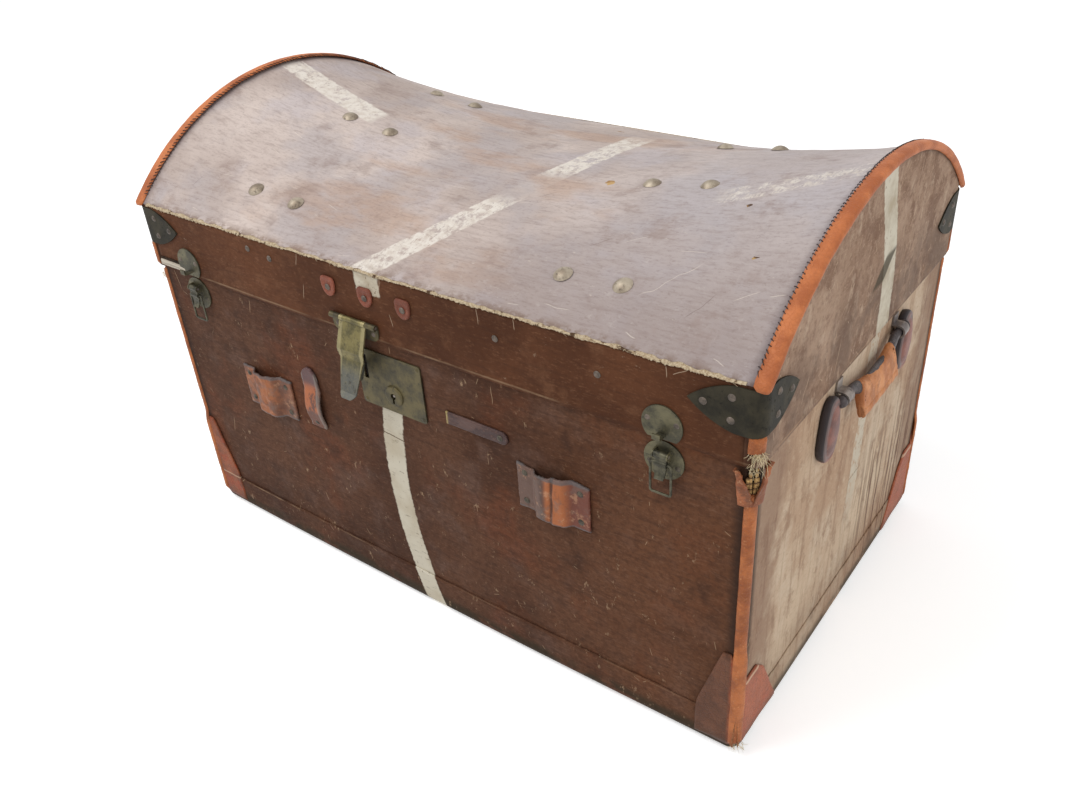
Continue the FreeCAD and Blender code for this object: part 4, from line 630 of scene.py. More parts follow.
def wood(name, pale, dark):
    """Bent ash: long grain along the strip."""
    f = Finish(name, 0.6, sheen=0.3)
    grain = f.noise(0.004, 5.0, 0.6, (20, 1, 1))
    broad = f.noise(0.05, 3.0, 0.5)
    colour = f.mix(grain.over(0.4, 0.7), pale, dark)
    colour = f.mix(broad.over(0.5, 0.75) * 0.4, colour, dark)
    return f.done(colour, 0.55 + grain * 0.2, grain, strength=0.4, depth=0.0006)


def cane():
    """Basket weave of split cane: rods under and over upright stakes."""
    f = Finish("split_cane", 0.55, sheen=0.3)
    x, y, z = f.axes
    weave = f.weave(0.022, x + y, z)
    rods = (z * (2 * np.pi / 0.006)).math("SINE")
    fine = f.noise(0.003, 4.0, 0.6, (8, 8, 1))
    # Dark troughs between the rods: painted shade in the gaps of the weave.
    colour = f.coats(f.mix(fine.over(0.35, 0.7), (196, 160, 104), (140, 102, 60)), [
        (1 - rods.over(-1.0, -0.4), (76, 50, 30)),
    ])
    height = weave * 0.5 + rods * 0.5
    return f.done(colour, 0.5 + fine * 0.2, height, strength=0.8, depth=0.002)


def ticking():
    """Striped cotton lining, soiled."""
    f = Finish("striped_ticking", 0.85, sheen=0.15)
    x, y, z = f.axes
    on_end = abs(x).over(0.3855, 0.3860)
    across = x + (y - x) * on_end
    turn = across * (2 * np.pi / 0.024)
    stripe = turn.math("SINE").over(0.72, 0.8)
    thin = (turn + 2.1).math("SINE").over(0.93, 0.96)
    fine = f.noise(0.004, 4.0, 0.6)
    soil = f.noise(0.09, 5.0, 0.6).over(0.45, 0.75)
    colour = f.coats(f.mix(stripe * 0.7, (206, 190, 158), (96, 100, 112)), [
        (thin * 0.6, (120, 84, 72)),
        (soil * 0.5, (150, 122, 88)),
        (fine.over(0.5, 0.75) * 0.3, (150, 132, 104)),
    ])
    threads = f.weave(0.0010, x + y, z)
    return f.done(colour, 0.8 + fine * 0.15, threads * 0.3 + fine * 0.5, strength=0.4, depth=0.0006)


def fibre(name, pale, dark, size=0.003, spots=None):
    """Spun or frayed fibre, dirtier in places."""
    f = Finish(name, 0.85, sheen=0.15)
    fine = f.noise(size, 4.0, 0.7)
    colour = f.mix(fine.over(0.35, 0.7), pale, dark)
    if spots:
        colour = f.mix(f.noise(0.009, 5.0, 0.7, shift=(3, 3, 3)).over(0.53, 0.62), colour, spots)
    return f.done(colour, 0.8 + fine * 0.15, fine, strength=0.5, depth=0.0005)


FINISHES = {
    "trunk_canvas": canvas_base(),
    "rim_canvas": canvas_rim(),
    "dome_canvas": canvas_dome(),
    "lining_cloth": ticking(),
    "woven_cane": cane(),
    "hoop_wood": wood("hoop_ash", (198, 164, 116), (146, 108, 68)),
    "batten_wood": wood("batten_ash", (186, 150, 104), (132, 96, 60)),
    "binding_leather": leather("tan_binding", (136, 74, 38), (186, 110, 60), (212, 154, 108),
                               crazed=0.2, patches=(160, 88, 44)),
    "welt_leather": leather("welt_hide", (168, 94, 54), (200, 120, 72), (218, 160, 118),
                            crazed=0.15, wear=0.6, sheen=0.25),
    "patch_leather": corner_hide(),
    "strap_leather": leather("harness_hide", (70, 40, 32), (116, 68, 48), (176, 114, 78)),
    "shield_leather": leather("shield_hide", (108, 58, 42), (142, 78, 57), (172, 112, 88)),
    "grip_leather": leather("grip_hide", (170, 104, 62), (212, 146, 96), (234, 188, 144), crazed=0.15,
                            patches=(164, 104, 64), wear=0.6),
    "iron": metal("japanned_iron", (56, 51, 38), (34, 31, 23), (20, 18, 14), 0.55, 0.1, sheen=0.18),
    "lock_brass": metal("olive_brass", (96, 86, 56), (62, 57, 42), (40, 37, 29), 0.45, 0.55),
    "hasp_brass": hasp_metal(),
    "fitting_brass": metal("dull_brass", (104, 98, 74), (62, 59, 46), (38, 36, 29), 0.45, 0.55),
    "catch_brass": metal("catch_brass", (92, 88, 70), (52, 50, 40), (30, 29, 24), 0.42, 0.6, size=0.008),
    "iron_rivet": metal("iron_rivet", (108, 96, 86), (70, 62, 55), (40, 35, 30), 0.42, 0.5, size=0.006),
    "steel": metal("tarnished_steel", (158, 148, 140), (108, 100, 98), (66, 60, 58), 0.42, 0.7),
    "rivet_metal": metal("copper_rivet", (176, 164, 146), (128, 114, 98), (74, 64, 52), 0.45, 0.65),
    "dark_rivet": metal("eyelet_iron", (92, 84, 72), (50, 46, 40), (30, 28, 24), 0.45, 0.6, size=0.006),
    "keeper_leather": keeper_hide(),
    "stub_leather": stub_hide(),
    "tab_leather": tab_hide(),
    "waxed_thread": fibre("waxed_thread", (96, 80, 70), (46, 38, 36)),
    "edge_thread": fibre("blue_grey_thread", (84, 70, 66), (48, 40, 40)),
    "frayed_cotton": fibre("frayed_cotton", (198, 182, 154), (150, 126, 98), 0.002, (82, 62, 46)),
    # Near-black fibre for dark pieces that stand for shade: inside the torn corner and in the gap over the
    # split hoop.
    "painted_hollow_shade": fibre("painted_hollow_shade", (58, 42, 30), (26, 19, 14), 0.004),
    "clean_fray": fibre("clean_fray", (226, 212, 178), (188, 164, 122), 0.002),
    "torn_edge": fibre("torn_edge", (164, 110, 74), (104, 66, 46), 0.004),
    "neck_leather": leather("neck_hide", (58, 50, 50), (92, 84, 84), (136, 126, 122), 0.42),
    "lobe_leather": lobe_hide(),
    "torn_hide": leather("torn_hide", (128, 72, 44), (172, 104, 66), (214, 168, 128), crazed=0.2,
                         patches=(112, 70, 48)),
    "old_wood": wood("weathered_ash", (196, 186, 170), (128, 114, 98)),
}
FROM_SLOT = {row["node"]: row["material_slot"] for row in frame["record"]["subparts"]}


def dress(obj, finish):
    """One finish on the whole piece."""
    obj.data.materials.clear()
    obj.data.materials.append(FINISHES[finish])


for name, obj in nodes.items():
    dress(obj, "rim_canvas" if name.startswith(("rim_", "end_")) else FROM_SLOT[name])


# ------------------------------------------------------------------------------- making meshes
def swell(points, size, seed):
    """Gentle unevenness from -1 to 1: the mean of ten sine waves, each along its own direction."""
    points = np.asarray(points, float)
    draw = np.random.default_rng(seed)
    ways = draw.normal(size=(10, points.shape[-1]))
    ways /= np.linalg.norm(ways, axis=1, keepdims=True)
    lengths = size * draw.uniform(0.55, 1.7, 10)
    phases = draw.uniform(0, 2 * np.pi, 10)
    waves = np.sin(points @ (ways / lengths[:, None] * 2 * np.pi).T + phases)
    return np.clip(waves.mean(-1) * 2.2, -1, 1)


def ragged(along, size, seed):
    """Torn edge along a length: coarse, middling and fine unevenness added up."""
    along = np.asarray(along, float)[..., None]
    coarse = swell(along, size, seed)
    return 0.5 * coarse + 0.32 * swell(along, size / 3, seed + 1) + 0.25 * swell(along, size / 9, seed + 2)


def smooth(value, low, high):
    """Smooth step from 0 at low to 1 at high."""
    t = np.clip((np.asarray(value, float) - low) / (high - low), 0, 1)
    return t * t * (3 - 2 * t)


def quads(rows, cols, wrap=False):
    """Quads between neighbouring points of a grid; wrap joins the last column to the first."""
    r, c = np.meshgrid(np.arange(rows - 1), np.arange(cols if wrap else cols - 1), indexing="ij")
    n = (c + 1) % cols
    return np.stack((r * cols + c, r * cols + n, (r + 1) * cols + n, (r + 1) * cols + c), -1)


def outward(points, faces):
    """Turn a closed shape's faces over if its signed volume is negative."""
    a, b, c, d = (points[faces[:, i]] for i in range(4))
    volume = np.einsum("ij,ij->", a, np.cross(b, c)) + np.einsum("ij,ij->", a, np.cross(c, d))
    return faces if volume > 0 else faces[:, ::-1]


def skin(rows):
    """Closed shape of rows of closed rings, each end drawn together at its middle point."""
    count, cols, _ = rows.shape
    points = np.concatenate((rows.reshape(-1, 3), rows[0].mean(0)[None], rows[-1].mean(0)[None]))
    first = np.arange(cols)
    after = (first + 1) % cols
    top = np.full(cols, count * cols)
    low = (count - 1) * cols
    caps = np.concatenate((np.stack((top, top, after, first), -1),
                           np.stack((top + 1, top + 1, low + first, low + after), -1)))
    faces = np.concatenate((quads(count, cols, True).reshape(-1, 4), caps))
    return points, outward(points, faces)


def shell(outer, inner, wrap=False, keep=None):
    """Closed wall between two equal grids; keep says which quads stay, and every open edge is joined."""
    rows, cols, _ = outer.shape
    faces = quads(rows, cols, wrap)
    faces = faces.reshape(-1, 4) if keep is None else faces[keep]
    count = rows * cols
    start = faces.ravel()
    end = np.roll(faces, -1, axis=1).ravel()
    is_open = ~np.isin(start * count + end, end * count + start)
    a = start[is_open]
    b = end[is_open]
    rim = np.stack((b, a, a + count, b + count), -1)
    points = np.concatenate((outer.reshape(-1, 3), inner.reshape(-1, 3)))
    faces = np.concatenate((faces, faces[:, ::-1] + count, rim))
    return points, outward(points, faces)


def normals(grid):
    """Unit normal of a surface grid: the cross product of its two slopes."""
    n = np.cross(np.gradient(grid, axis=1), np.gradient(grid, axis=0))
    return n / np.maximum(np.linalg.norm(n, axis=-1, keepdims=True), 1e-12)


def rounded(outline, times=2):
    """Round a closed outline: each pass cuts every corner at a quarter of its two sides."""
    outline = np.asarray(outline, float)
    for _ in range(times):
        after = np.roll(outline, -1, axis=0)
        outline = np.stack((0.75 * outline + 0.25 * after, 0.25 * outline + 0.75 * after), 1)
        outline = outline.reshape(-1, outline.shape[-1])
    return outline


def curve(points, count):
    """Points along a Bezier curve: each control point weighted by its Bernstein polynomial."""
    points = np.asarray(points, float)
    t = np.linspace(0, 1, count)
    n = len(points) - 1
    weights = np.ones((count, n + 1))
    binomial = 1.0
    for k in range(n + 1):
        weights[:, k] = binomial * t ** k * (1 - t) ** (n - k)
        binomial *= (n - k) / (k + 1)
    return weights @ points


def carried(path, out, outline):
    """Rows of a profile carried along a path: its first axis along `out`, its second square to both."""
    path = np.asarray(path, float)
    way = np.gradient(path, axis=0)
    way /= np.linalg.norm(way, axis=1, keepdims=True)
    out = np.broadcast_to(np.asarray(out, float), path.shape)
    out = out - way * np.einsum("ij,ij->i", out, way)[:, None]
    out = out / np.linalg.norm(out, axis=1, keepdims=True)
    up = np.cross(way, out)
    outline = np.broadcast_to(outline, (len(path), *np.shape(outline)[-2:]))
    return path[:, None] + outline[..., :1] * out[:, None] + outline[..., 1:] * up[:, None]


def circle(sides):
    """Outline of a unit circle: cosine and sine of even turns."""
    turn = np.linspace(0, 2 * np.pi, sides, endpoint=False)
    return np.stack((np.cos(turn), np.sin(turn)), -1)


def thread(points, radius, sides=5, count=7, taper=0.5):
    """Round thread along a curve through its control points, thinner towards its end."""
    path = curve(points, count)
    sizes = radius * (1 - taper * np.linspace(0, 1, count) ** 2)
    return skin(carried(path, (0.31, 0.52, 0.79), circle(sides) * sizes[:, None, None]))


def crowned(outline, place, profile):
    """Padded leaf over a flat outline: rings of the outline drawn in towards its middle as they rise."""
    middle = outline.mean(0)
    rings = [np.column_stack((middle + (outline - middle) * share, np.full(len(outline), rise)))
             for share, rise in ((0.5, 0), *profile)]
    return skin(place(np.stack(rings)))


def make(name, body, finish, shapes, stands_for=()):
    """One piece from closed shapes, in its place on a body; a quad that repeats a corner is a triangle."""
    starts = np.cumsum([0] + [len(p) for p, _ in shapes])[:-1]
    points = np.concatenate([p for p, _ in shapes])
    faces = np.concatenate([f + s for (_, f), s in zip(shapes, starts)])
    at_first = faces[:, 0] == faces[:, 1]
    at_last = faces[:, 2] == faces[:, 3]
    corners = faces[~at_first & ~at_last].tolist()
    corners += faces[at_first, 1:].tolist() + faces[at_last, :3].tolist()
    mesh = bpy.data.meshes.new(name)
    mesh.from_pydata(points.tolist(), [], corners)
    mesh.polygons.foreach_set("use_smooth", [True] * len(mesh.polygons))
    mesh.materials.append(FINISHES[finish])
    obj = bpy.data.objects.new(name, mesh)
    bpy.context.collection.objects.link(obj)
    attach(obj, body)
    if stands_for:
        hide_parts(*stands_for)
    return obj


# ----------------------------------------------------------------------------- walls and the dome
def corner_centre(half_x, half_y, mid_y, radius):
    """Middle of the front right corner's turn, where the bowed front meets the flat end."""
    return half_x - radius, mid_y - half_y - BOW * (1 - ((half_x - radius) / half_x) ** 2) + radius


def front_y(x, half_x, half_y, mid_y):
    """The front panel bows out by BOW at mid length, as a parabola."""
    return mid_y - half_y - BOW * (1 - (x / half_x) ** 2)


def half_ring(half_x, half_y, mid_y, radius, offset):
    """Half of a wall's outline in plan: front from left to right, corner, end, corner."""
    cx, cy = corner_centre(half_x, half_y, mid_y, radius)
    x = np.linspace(-cx, cx, 131)
    front = np.stack((x, front_y(x, half_x, half_y, mid_y) - offset), -1)
    angle = np.radians(np.linspace(-90, 0, 21))[1:-1]
    r = radius + offset
    corner = np.stack((cx + r * np.cos(angle), cy + r * np.sin(angle)), -1)
    y = np.linspace(cy, 2 * mid_y - cy, 79)
    end = np.stack((np.full(len(y), half_x + offset), y), -1)
    far = np.stack((corner[::-1, 0], 2 * mid_y - corner[::-1, 1]), -1)
    return np.concatenate((front, corner, end, far))


def ring(half_x, half_y, mid_y, radius, offset=0.0):
    """The whole outline: the half and its copy turned half round."""
    half = half_ring(half_x, half_y, mid_y, radius, offset)
    return np.concatenate((half, (0, 2 * mid_y) - half))


def wall(outline, heights):
    """Grid of a plan outline carried up through heights."""
    rows = np.broadcast_to(outline, (len(heights), *outline.shape))
    z = np.broadcast_to(np.asarray(heights, float)[:, None, None], (*rows.shape[:2], 1))
    return np.concatenate((rows, z), -1)


def dome_z(x, y):
    """Height of the saddle: at each x a circle over the two rims whose rise grows with x squared."""
    share = (x / LID_X) ** 2
    half = LID_Y + BOW * (1 - share)
    rise = MID_RISE + (END_RISE - MID_RISE) * share
    radius = (half ** 2 + rise ** 2) / (2 * rise)
    across = np.minimum(np.abs(y - LID_MID), half)
    return RIM_TOP + rise - radius + np.sqrt(radius ** 2 - across ** 2)


BASE = (BASE_X, BASE_Y, 0.0, CORNER)     # half length, half depth, middle and corner radius in plan
LID = (LID_X, LID_Y, LID_MID, CORNER)


def at_right_corner(points):
    """From round the front right corner (in degrees from the front), out and height to its place."""
    cx, cy = corner_centre(*BASE)
    turn = np.radians(points[..., 0] - 90)
    r = CORNER + points[..., 1]
    return np.stack((cx + r * np.cos(turn), cy + r * np.sin(turn), points[..., 2]), -1)


def tear_half_angle(z):
    """Half width of the tear round the corner, in degrees: widest low down, closing to a point above."""
    share = np.clip((z - TEAR_LOW) / (TEAR_HIGH - TEAR_LOW), 0, 1)
    return 44 * (1 - share) ** 0.55 * smooth(share, -0.02, 0.05)


def is_lock_hole(middle, half_x, half_z):
    """Which quads lie in the hole cut for the lock in the front wall."""
    x, y, z = np.moveaxis(middle, -1, 0)
    return (np.abs(x - LOCK_X) < half_x) & (np.abs(z - LOCK_Z) < half_z) & (y < 0)


def base_cover():
    """Wall canvas of the base, glued to the basket: it sinks a little between the stakes."""
    z = np.concatenate((np.linspace(14, 306, 44), np.linspace(308, 362, 28), (363.5, 365))) * MM
    outer = wall(ring(*BASE), z)
    inner = wall(ring(*BASE, offset=-CANVAS), z)
    free = smooth(z, 0.03, 0.07) * (1 - smooth(z, 0.340, 0.362))
    from_end = np.abs(BASE_X - np.abs(outer[..., 0]))
    from_front = BASE_Y - np.abs(outer[..., 1])
    away = np.maximum(smooth(from_end, 0.0, 0.03), smooth(from_front, 0.0, 0.03))
    sunk = (0.35 * swell(outer, 0.10, 3) + 0.25 * swell(outer, 0.03, 4) - 0.45) * MM
    share = (sunk * free[:, None] * away / CANVAS)[..., None]
    outer = outer + (outer - inner) * share
    between = (outer[:-1] + outer[1:]) / 2
    lock = is_lock_hole(between, 40.5 * MM, 26.5 * MM)
    cx, cy = corner_centre(*BASE)
    middle = (between + np.roll(between, -1, axis=1)) / 2
    turn = np.degrees(np.arctan2(middle[..., 1] - cy, middle[..., 0] - cx)) + 90
    height = middle[..., 2]
    torn = (middle[..., 0] > cx - 0.006) & (middle[..., 1] < cy + 0.006) & (height > TEAR_LOW - 2 * MM)
    torn &= np.abs(turn - 45) < tear_half_angle(height) + 4 * swell(middle, 0.012, 12)
    shapes = [shell(outer, inner, True, ~lock & ~torn)]
    return make("base_cover", "base", "trunk_canvas", shapes, ["base_canvas"])


def foot_section(offset, low, radius, top):
    """Section of a tub's outside: offset and height from its top edge, round the foot, to the floor."""
    turn = np.radians(np.linspace(0, 90, 8))
    foot = np.stack((offset - radius + radius * np.cos(turn), low + radius - radius * np.sin(turn)), -1)
    upright = np.stack((np.full(8, offset), np.linspace(top, low + radius + 2 * MM, 8)), -1)
    return np.concatenate((upright, foot))


def bottom_cover():
    """Canvas pan under the base, its raw upstand stuck round the foot of the walls."""
    inside = foot_section(0.02 * MM, CANVAS, FOOT, 50 * MM)
    outside = foot_section(CANVAS, 0.0, FOOT + CANVAS, 50 * MM)
    edge = ring(*BASE)
    along = np.cumsum(np.linalg.norm(np.diff(edge, axis=0, prepend=edge[:1]), axis=1))
    upstand = 1.6 * MM * ragged(along, 0.05, 21)
    upper = [(*inside[-1], 0.4), (*inside[-1], 0.8), *((*point, 1.0) for point in inside[::-1])]
    lower = [*((*point, 1.0) for point in outside), (*outside[-1], 0.8), (*outside[-1], 0.4)]
    rows = [np.column_stack((ring(*BASE, offset=offset) * share, z + upstand * smooth(z, 0.02, 0.05)))
            for offset, z, share in upper + lower]
    return make("bottom_cover", "base", "trunk_canvas", [skin(np.stack(rows))],
                ["base_bottom_canvas"])


def rim_cover():
    """Canvas on the lid's upright rim, front and back."""
    x = np.linspace(-LAP_X, LAP_X, 131)
    z = np.linspace(LID_BOTTOM, RIM_TOP, 17)
    shapes = []
    for side in (1, -1):

        def panel(sink, side=side):
            """Grid of the front or back panel, sunk towards the inside of the lid."""
            y = front_y(x, LID_X, LID_Y, LID_MID) + sink
            return wall(np.stack((x, y if side > 0 else 2 * LID_MID - y), -1), z)
        flat = panel(0.0)
        sunk = (0.3 * swell(flat, 0.10, 5) + 0.2 * swell(flat, 0.03, 6) - 0.35) * MM
        sunk = sunk * (smooth(z, LID_BOTTOM, LID_BOTTOM + 0.01) * smooth(RIM_TOP - z, 0.0, 0.01))[:, None]
        outer = flat.copy()
        outer[..., 1] -= side * sunk
        shapes.append(shell(outer, panel(CANVAS)))
    return make("rim_cover", "lid", "rim_canvas", shapes, ["rim_canvas"])


def end_outline(offset):
    """Plan of a lid end with its two corners: short front piece, turn, flat end, turn, short back piece."""
    cx, cy = corner_centre(*LID)
    r = CORNER + offset
    turn = np.radians(np.linspace(-90, 0, 12))
    start = np.array([[LAP_X, front_y(LAP_X, LID_X, LID_Y, LID_MID) - offset]])
    corner = np.stack((cx + r * np.cos(turn), cy + r * np.sin(turn)), -1)
    first = np.concatenate((start, corner))
    y = np.linspace(cy, 2 * LID_MID - cy, 85)[1:-1]
    end = np.stack((np.full(len(y), LID_X + offset), y), -1)
    last = np.stack((first[::-1, 0], 2 * LID_MID - first[::-1, 1]), -1)
    return np.concatenate((first, end, last))


def end_cover(side):
    """Canvas of a lid end, up to the edge of the dome, sunk a little in its middle."""
    flat = end_outline(0.0)
    inner = end_outline(-CANVAS)
    share = np.linspace(0, 1, 41)[:, None]
    top = dome_z(np.minimum(flat[:, 0], LID_X), flat[:, 1])
    height = LID_BOTTOM + (top - LID_BOTTOM) * share
    outer = np.concatenate((np.broadcast_to(flat, (41, *flat.shape)), height[..., None]), -1)
    inside = np.concatenate((np.broadcast_to(inner, (41, *inner.shape)), height[..., None]), -1)
    middle = smooth(LID_Y - np.abs(flat[:, 1] - LID_MID), 0.02, 0.06)
    middle = middle * smooth(share, 0, 0.1) * smooth(1 - share, 0, 0.1)
    sunk = (0.35 * swell(outer, 0.09, 7) + 0.25 * swell(outer, 0.03, 8) - 0.4) * MM
    outer[..., 0] += sunk * middle
    outer[..., 0] *= side
    inside[..., 0] *= side
    name = SIDE_NAME[side]
    return make("end_cover_" + name, "lid", "rim_canvas", [shell(outer, inside)],
                ["end_canvas_" + name])


def dome_cover():
    """Saddle canvas: x along, y across between the plan's edges, height from dome_z, sunk between ribs."""
    reach = LID_X - 0.5 * MM
    x = np.linspace(-reach, reach, 161)
    cx, cy = corner_centre(*LID)
    near = front_y(x, LID_X, LID_Y, LID_MID)
    past = np.clip(np.abs(x) - cx, 0, CORNER)
    turned = cy - np.sqrt(CORNER ** 2 - past ** 2)
    near = np.where(np.abs(x) > cx, turned, near)
    even = np.linspace(0, 1, 97)
    share = 0.35 * (1 - np.cos(np.pi * even)) / 2 + 0.65 * even
    y = near[None, :] + (2 * LID_MID - 2 * near)[None, :] * share[:, None]
    flat = np.stack((np.broadcast_to(x, y.shape), y, dome_z(x[None, :], y)), -1)
    n = normals(flat)
    n *= np.sign(n[..., 2:])
    edge = smooth(share, 0.0, 0.05) * smooth(1 - share, 0.0, 0.05)
    edge = edge[:, None] * smooth(reach - np.abs(x), 0.012, 0.05)[None, :]
    sunk = (0.5 * swell(flat, 0.11, 9) + 0.25 * swell(flat, 0.03, 10) - 0.45) * MM
    outer = flat + n * (sunk * edge)[..., None]
    inner = flat - n * CANVAS
    return make("dome_cover", "lid", "dome_canvas", [shell(outer, inner)], ["dome_canvas"])


# ------------------------------------------------------------------------------- leather bindings
WELT = rounded([(-9.8, 0.2), (-9.4, 1.5), (-7, 2.7), (-2.6, 3.4), (1.2, 3.1), (3.9, 1.5), (4.8, -1.0),
                (4.3, -3.6), (3.0, -5.2), (1.2, -5.9), (0.15, -5.2), (0.15, -0.6), (-3, -0.3),
                (-8, 0.0)]) * MM


def arch_path(side, count):
    """Along the end of the dome from rim to rim, dropping on to the corner irons at both ends."""
    y = np.linspace(-1, 1, count) * (LID_Y - 0.2 * MM)
    z = dome_z(LID_X, LID_MID + y)
    path = np.stack((np.full(count, side * LID_X), LID_MID + y, z), -1)
    ends = [(side * LID_X, LID_MID + s * (LID_Y + 0.4 * MM), RIM_TOP - 2.5 * MM) for s in (-1, 1)]
    path = np.concatenate(([ends[0]], path, [ends[1]]))
    return path if side < 0 else path[::-1]


def arch_welt(side):
    """Rolled welt: WELT carried along the arch, a little uneven, tapered to a rounded end on each iron."""
    path = arch_path(side, 150)
    along = np.linspace(0, 1, len(path))
    size = 1 + 0.07 * ragged(along, 0.2, 30 + side)
    close = np.minimum(along, 1 - along)
    size *= 0.72 + 0.28 * np.sqrt(smooth(close, 0, 0.010))
    outline = WELT[None] * size[:, None, None]
    outline = outline + np.stack((0.35 * MM * ragged(along, 0.15, 33 + side), 0 * along), -1)[:, None]
    rows = carried(path, (side, 0, 0), outline)
    name = SIDE_NAME[side]
    return make("arch_welt_" + name, "lid", "welt_leather", [skin(rows)],
                ["arch_binding_" + name])


def welt_stitches(side):
    """Whip stitches over the welt's dome-side edge, one every pitch, each leaning along the edge."""
    path = arch_path(side, 400)[1:-1]
    way = np.gradient(path, axis=0)
    length = np.concatenate(([0], np.cumsum(np.linalg.norm(np.diff(path, axis=0), axis=1))))
    way /= np.linalg.norm(way, axis=1, keepdims=True)
    up = np.cross(way, (side, 0, 0))
    draw = np.random.default_rng(50 + side)
    shapes = []
    pitch = 4.8 * MM
    for at in np.arange(12 * MM, length[-1] - 10 * MM, pitch):
        here = [np.interp(at + draw.normal(0, 0.4 * MM), length, path[:, i]) for i in range(3)]
        i = int(np.searchsorted(length, at))
        lean = way[i] * draw.normal(1.6 * MM, 0.5 * MM) * side

        def spot(inward, rise, here=here, i=i):
            """Point beside the welt's edge: mm in along the dome and mm up from it."""
            return np.array(here) - np.array((side, 0, 0)) * inward * MM + up[i] * rise * MM
        reach = draw.uniform(10.8, 11.8)
        points = [spot(reach, -0.4) - lean, spot(reach - 0.3, 1.2) - lean, spot(9.2, 2.6),
                  spot(7.8, 3.1) + lean, spot(7.2, 2.2) + lean]
        shapes.append(thread(points, 0.50 * MM, 6, 6, 0.1))
    name = SIDE_NAME[side]
    return make("welt_stitches_" + name, "lid", "edge_thread", shapes)


def corner_roll(sx, sy, plan, low, high, proud, under, seed, reach=-15.0, rows=90):
    """Rolled leather round an upright corner: an arc, thickest in its middle, carried up the corner."""
    cx, cy = corner_centre(*plan)
    z = np.linspace(low, high, rows)
    turn = np.radians(np.linspace(-90 - reach, reach, 17))
    middle = 1 - np.abs(np.degrees(turn) + 45) / (45 + reach)
    bulge = np.clip(middle * (2 - middle), 0, 1) ** 0.7
    across = np.broadcast_to(turn, (rows, 17))
    dents = swell(np.stack((z[:, None] + 0 * across, across * 0.01), -1), 0.02, seed + 3)
    uneven = 1 + 0.10 * ragged(z, 0.10, seed)[:, None] + 0.05 * dents
    ends = np.sqrt(smooth(np.minimum(z - low, high - z), -0.0004, 0.003))[:, None]
    lift = under(z)[:, None] if callable(under) else under
    outer = CORNER + lift + proud * bulge[None] * uneven * ends
    inner = np.broadcast_to(CORNER + lift - 0.3 * MM, outer.shape)
    radius = np.concatenate((outer, inner[:, ::-1]), 1)
    angle = np.concatenate((across, across[:, ::-1]), 1)
    angle = angle + np.radians(1.6) * ragged(z, 0.06, seed + 5)[:, None]
    x = cx + radius * np.cos(angle)
    y = cy + radius * np.sin(angle) - plan[2]
    grid = np.stack((sx * x, (y if sy < 0 else -y) + plan[2], np.broadcast_to(z[:, None], x.shape)), -1)
    return skin(grid)


def patch_lift(z):
    """The binding stands on the patch where there is one, and on the wall above it."""
    return 0.2 * MM + 2.6 * MM * (1 - smooth(z, 0.128, 0.150))


def corner_rolls():
    """Bindings up the base's four corners."""
    for sy, name in ((-1, "front"), (1, "back")):
        shapes = []
        for sx in (-1, 1):
            top = TEAR_LOW + 3 * MM if (sx, sy) == (1, -1) else BASE_TOP - 5 * MM
            shapes.append(corner_roll(sx, sy, BASE, 15 * MM, top, 3.3 * MM, patch_lift, 60 + sx + 3 * sy))
        make("corner_rolls_" + name, "base", "binding_leather", shapes,
             ["corner_bindings_" + name])


def lid_corner_rolls():
    """Short bindings on the lid's corners, under the irons."""
    shapes = []
    for sx in (-1, 1):
        for sy in (-1, 1):
            low = 379.5 * MM if (sx, sy) == (1, -1) else LID_BOTTOM + 0.8 * MM
            proud = 3.4 * MM if (sx, sy) == (1, -1) else 2.3 * MM
            shapes.append(corner_roll(sx, sy, LID, low, 395.8 * MM, proud, 0.0, 70 + sx + 3 * sy, -6.0, 24))
    return make("lid_corner_rolls", "lid", "binding_leather", shapes,
                ["lid_corner_bindings"])


def corner_hides():
    """Leather corners of the base: a tall leaf on the front or back, round to a wide one on the end."""
    cx, cy = corner_centre(*BASE)
    front_reach = np.array((46, 45.5, 44, 20, 18, 12.2)) * MM
    front_top = np.array((40, 52, 60, 137, 140, 140)) * MM
    end_reach = np.array((12.2, 30, 34, 48, 52, 80, 85)) * MM
    end_top = np.array((102, 102.5, 101, 88, 81, 22, 15)) * MM
    front = np.linspace(46 * MM, 12.2 * MM, 24)
    end = np.linspace(12.2 * MM, 85 * MM, 44)
    turn = np.radians(np.linspace(-90, 0, 14))[1:-1]
    top = np.concatenate((np.interp(front, front_reach[::-1], front_top[::-1]),
                          np.linspace(140 * MM, 102 * MM, 12), np.interp(end, end_reach, end_top)))
    low = 11.4 * MM
    level = np.linspace(0, 1, 26)[:, None]
    shapes = []
    for sx, sy in ((-1, -1), (1, -1), (-1, 1), (1, 1)):
        uneven = 1.0 * MM * ragged(np.arange(len(top)) * 0.002, 0.03, 80 + sx + 3 * sy)

        def leaf(offset, uneven=uneven):
            """One face of the leather, an offset out from the wall."""
            r = CORNER + offset
            flat = np.concatenate((
                np.stack((BASE_X - front, front_y(BASE_X - front, BASE_X, BASE_Y, 0.0) - offset), -1),
                np.stack((cx + r * np.cos(turn), cy + r * np.sin(turn)), -1),
                np.stack((np.full(len(end), BASE_X + offset), -BASE_Y + end), -1)))
            z = low + (top + uneven - low)[None] * level
            return np.concatenate((np.broadcast_to(flat, (len(level), *flat.shape)), z[..., None]), -1)
        outer = leaf(CANVAS + 1.5 * MM)
        inner = leaf(0.05 * MM)
        bumps = 0.25 * MM * swell(outer, 0.02, 85)
        outer = worn_edge(outer + (outer - inner) * (bumps / (2.6 * MM))[..., None], inner, 0.35)
        mirror = np.array((sx, -sy, 1))
        shapes.append(shell(outer * mirror, inner * mirror))
    return make("corner_hides", "base", "patch_leather", shapes, ["corner_patches"])


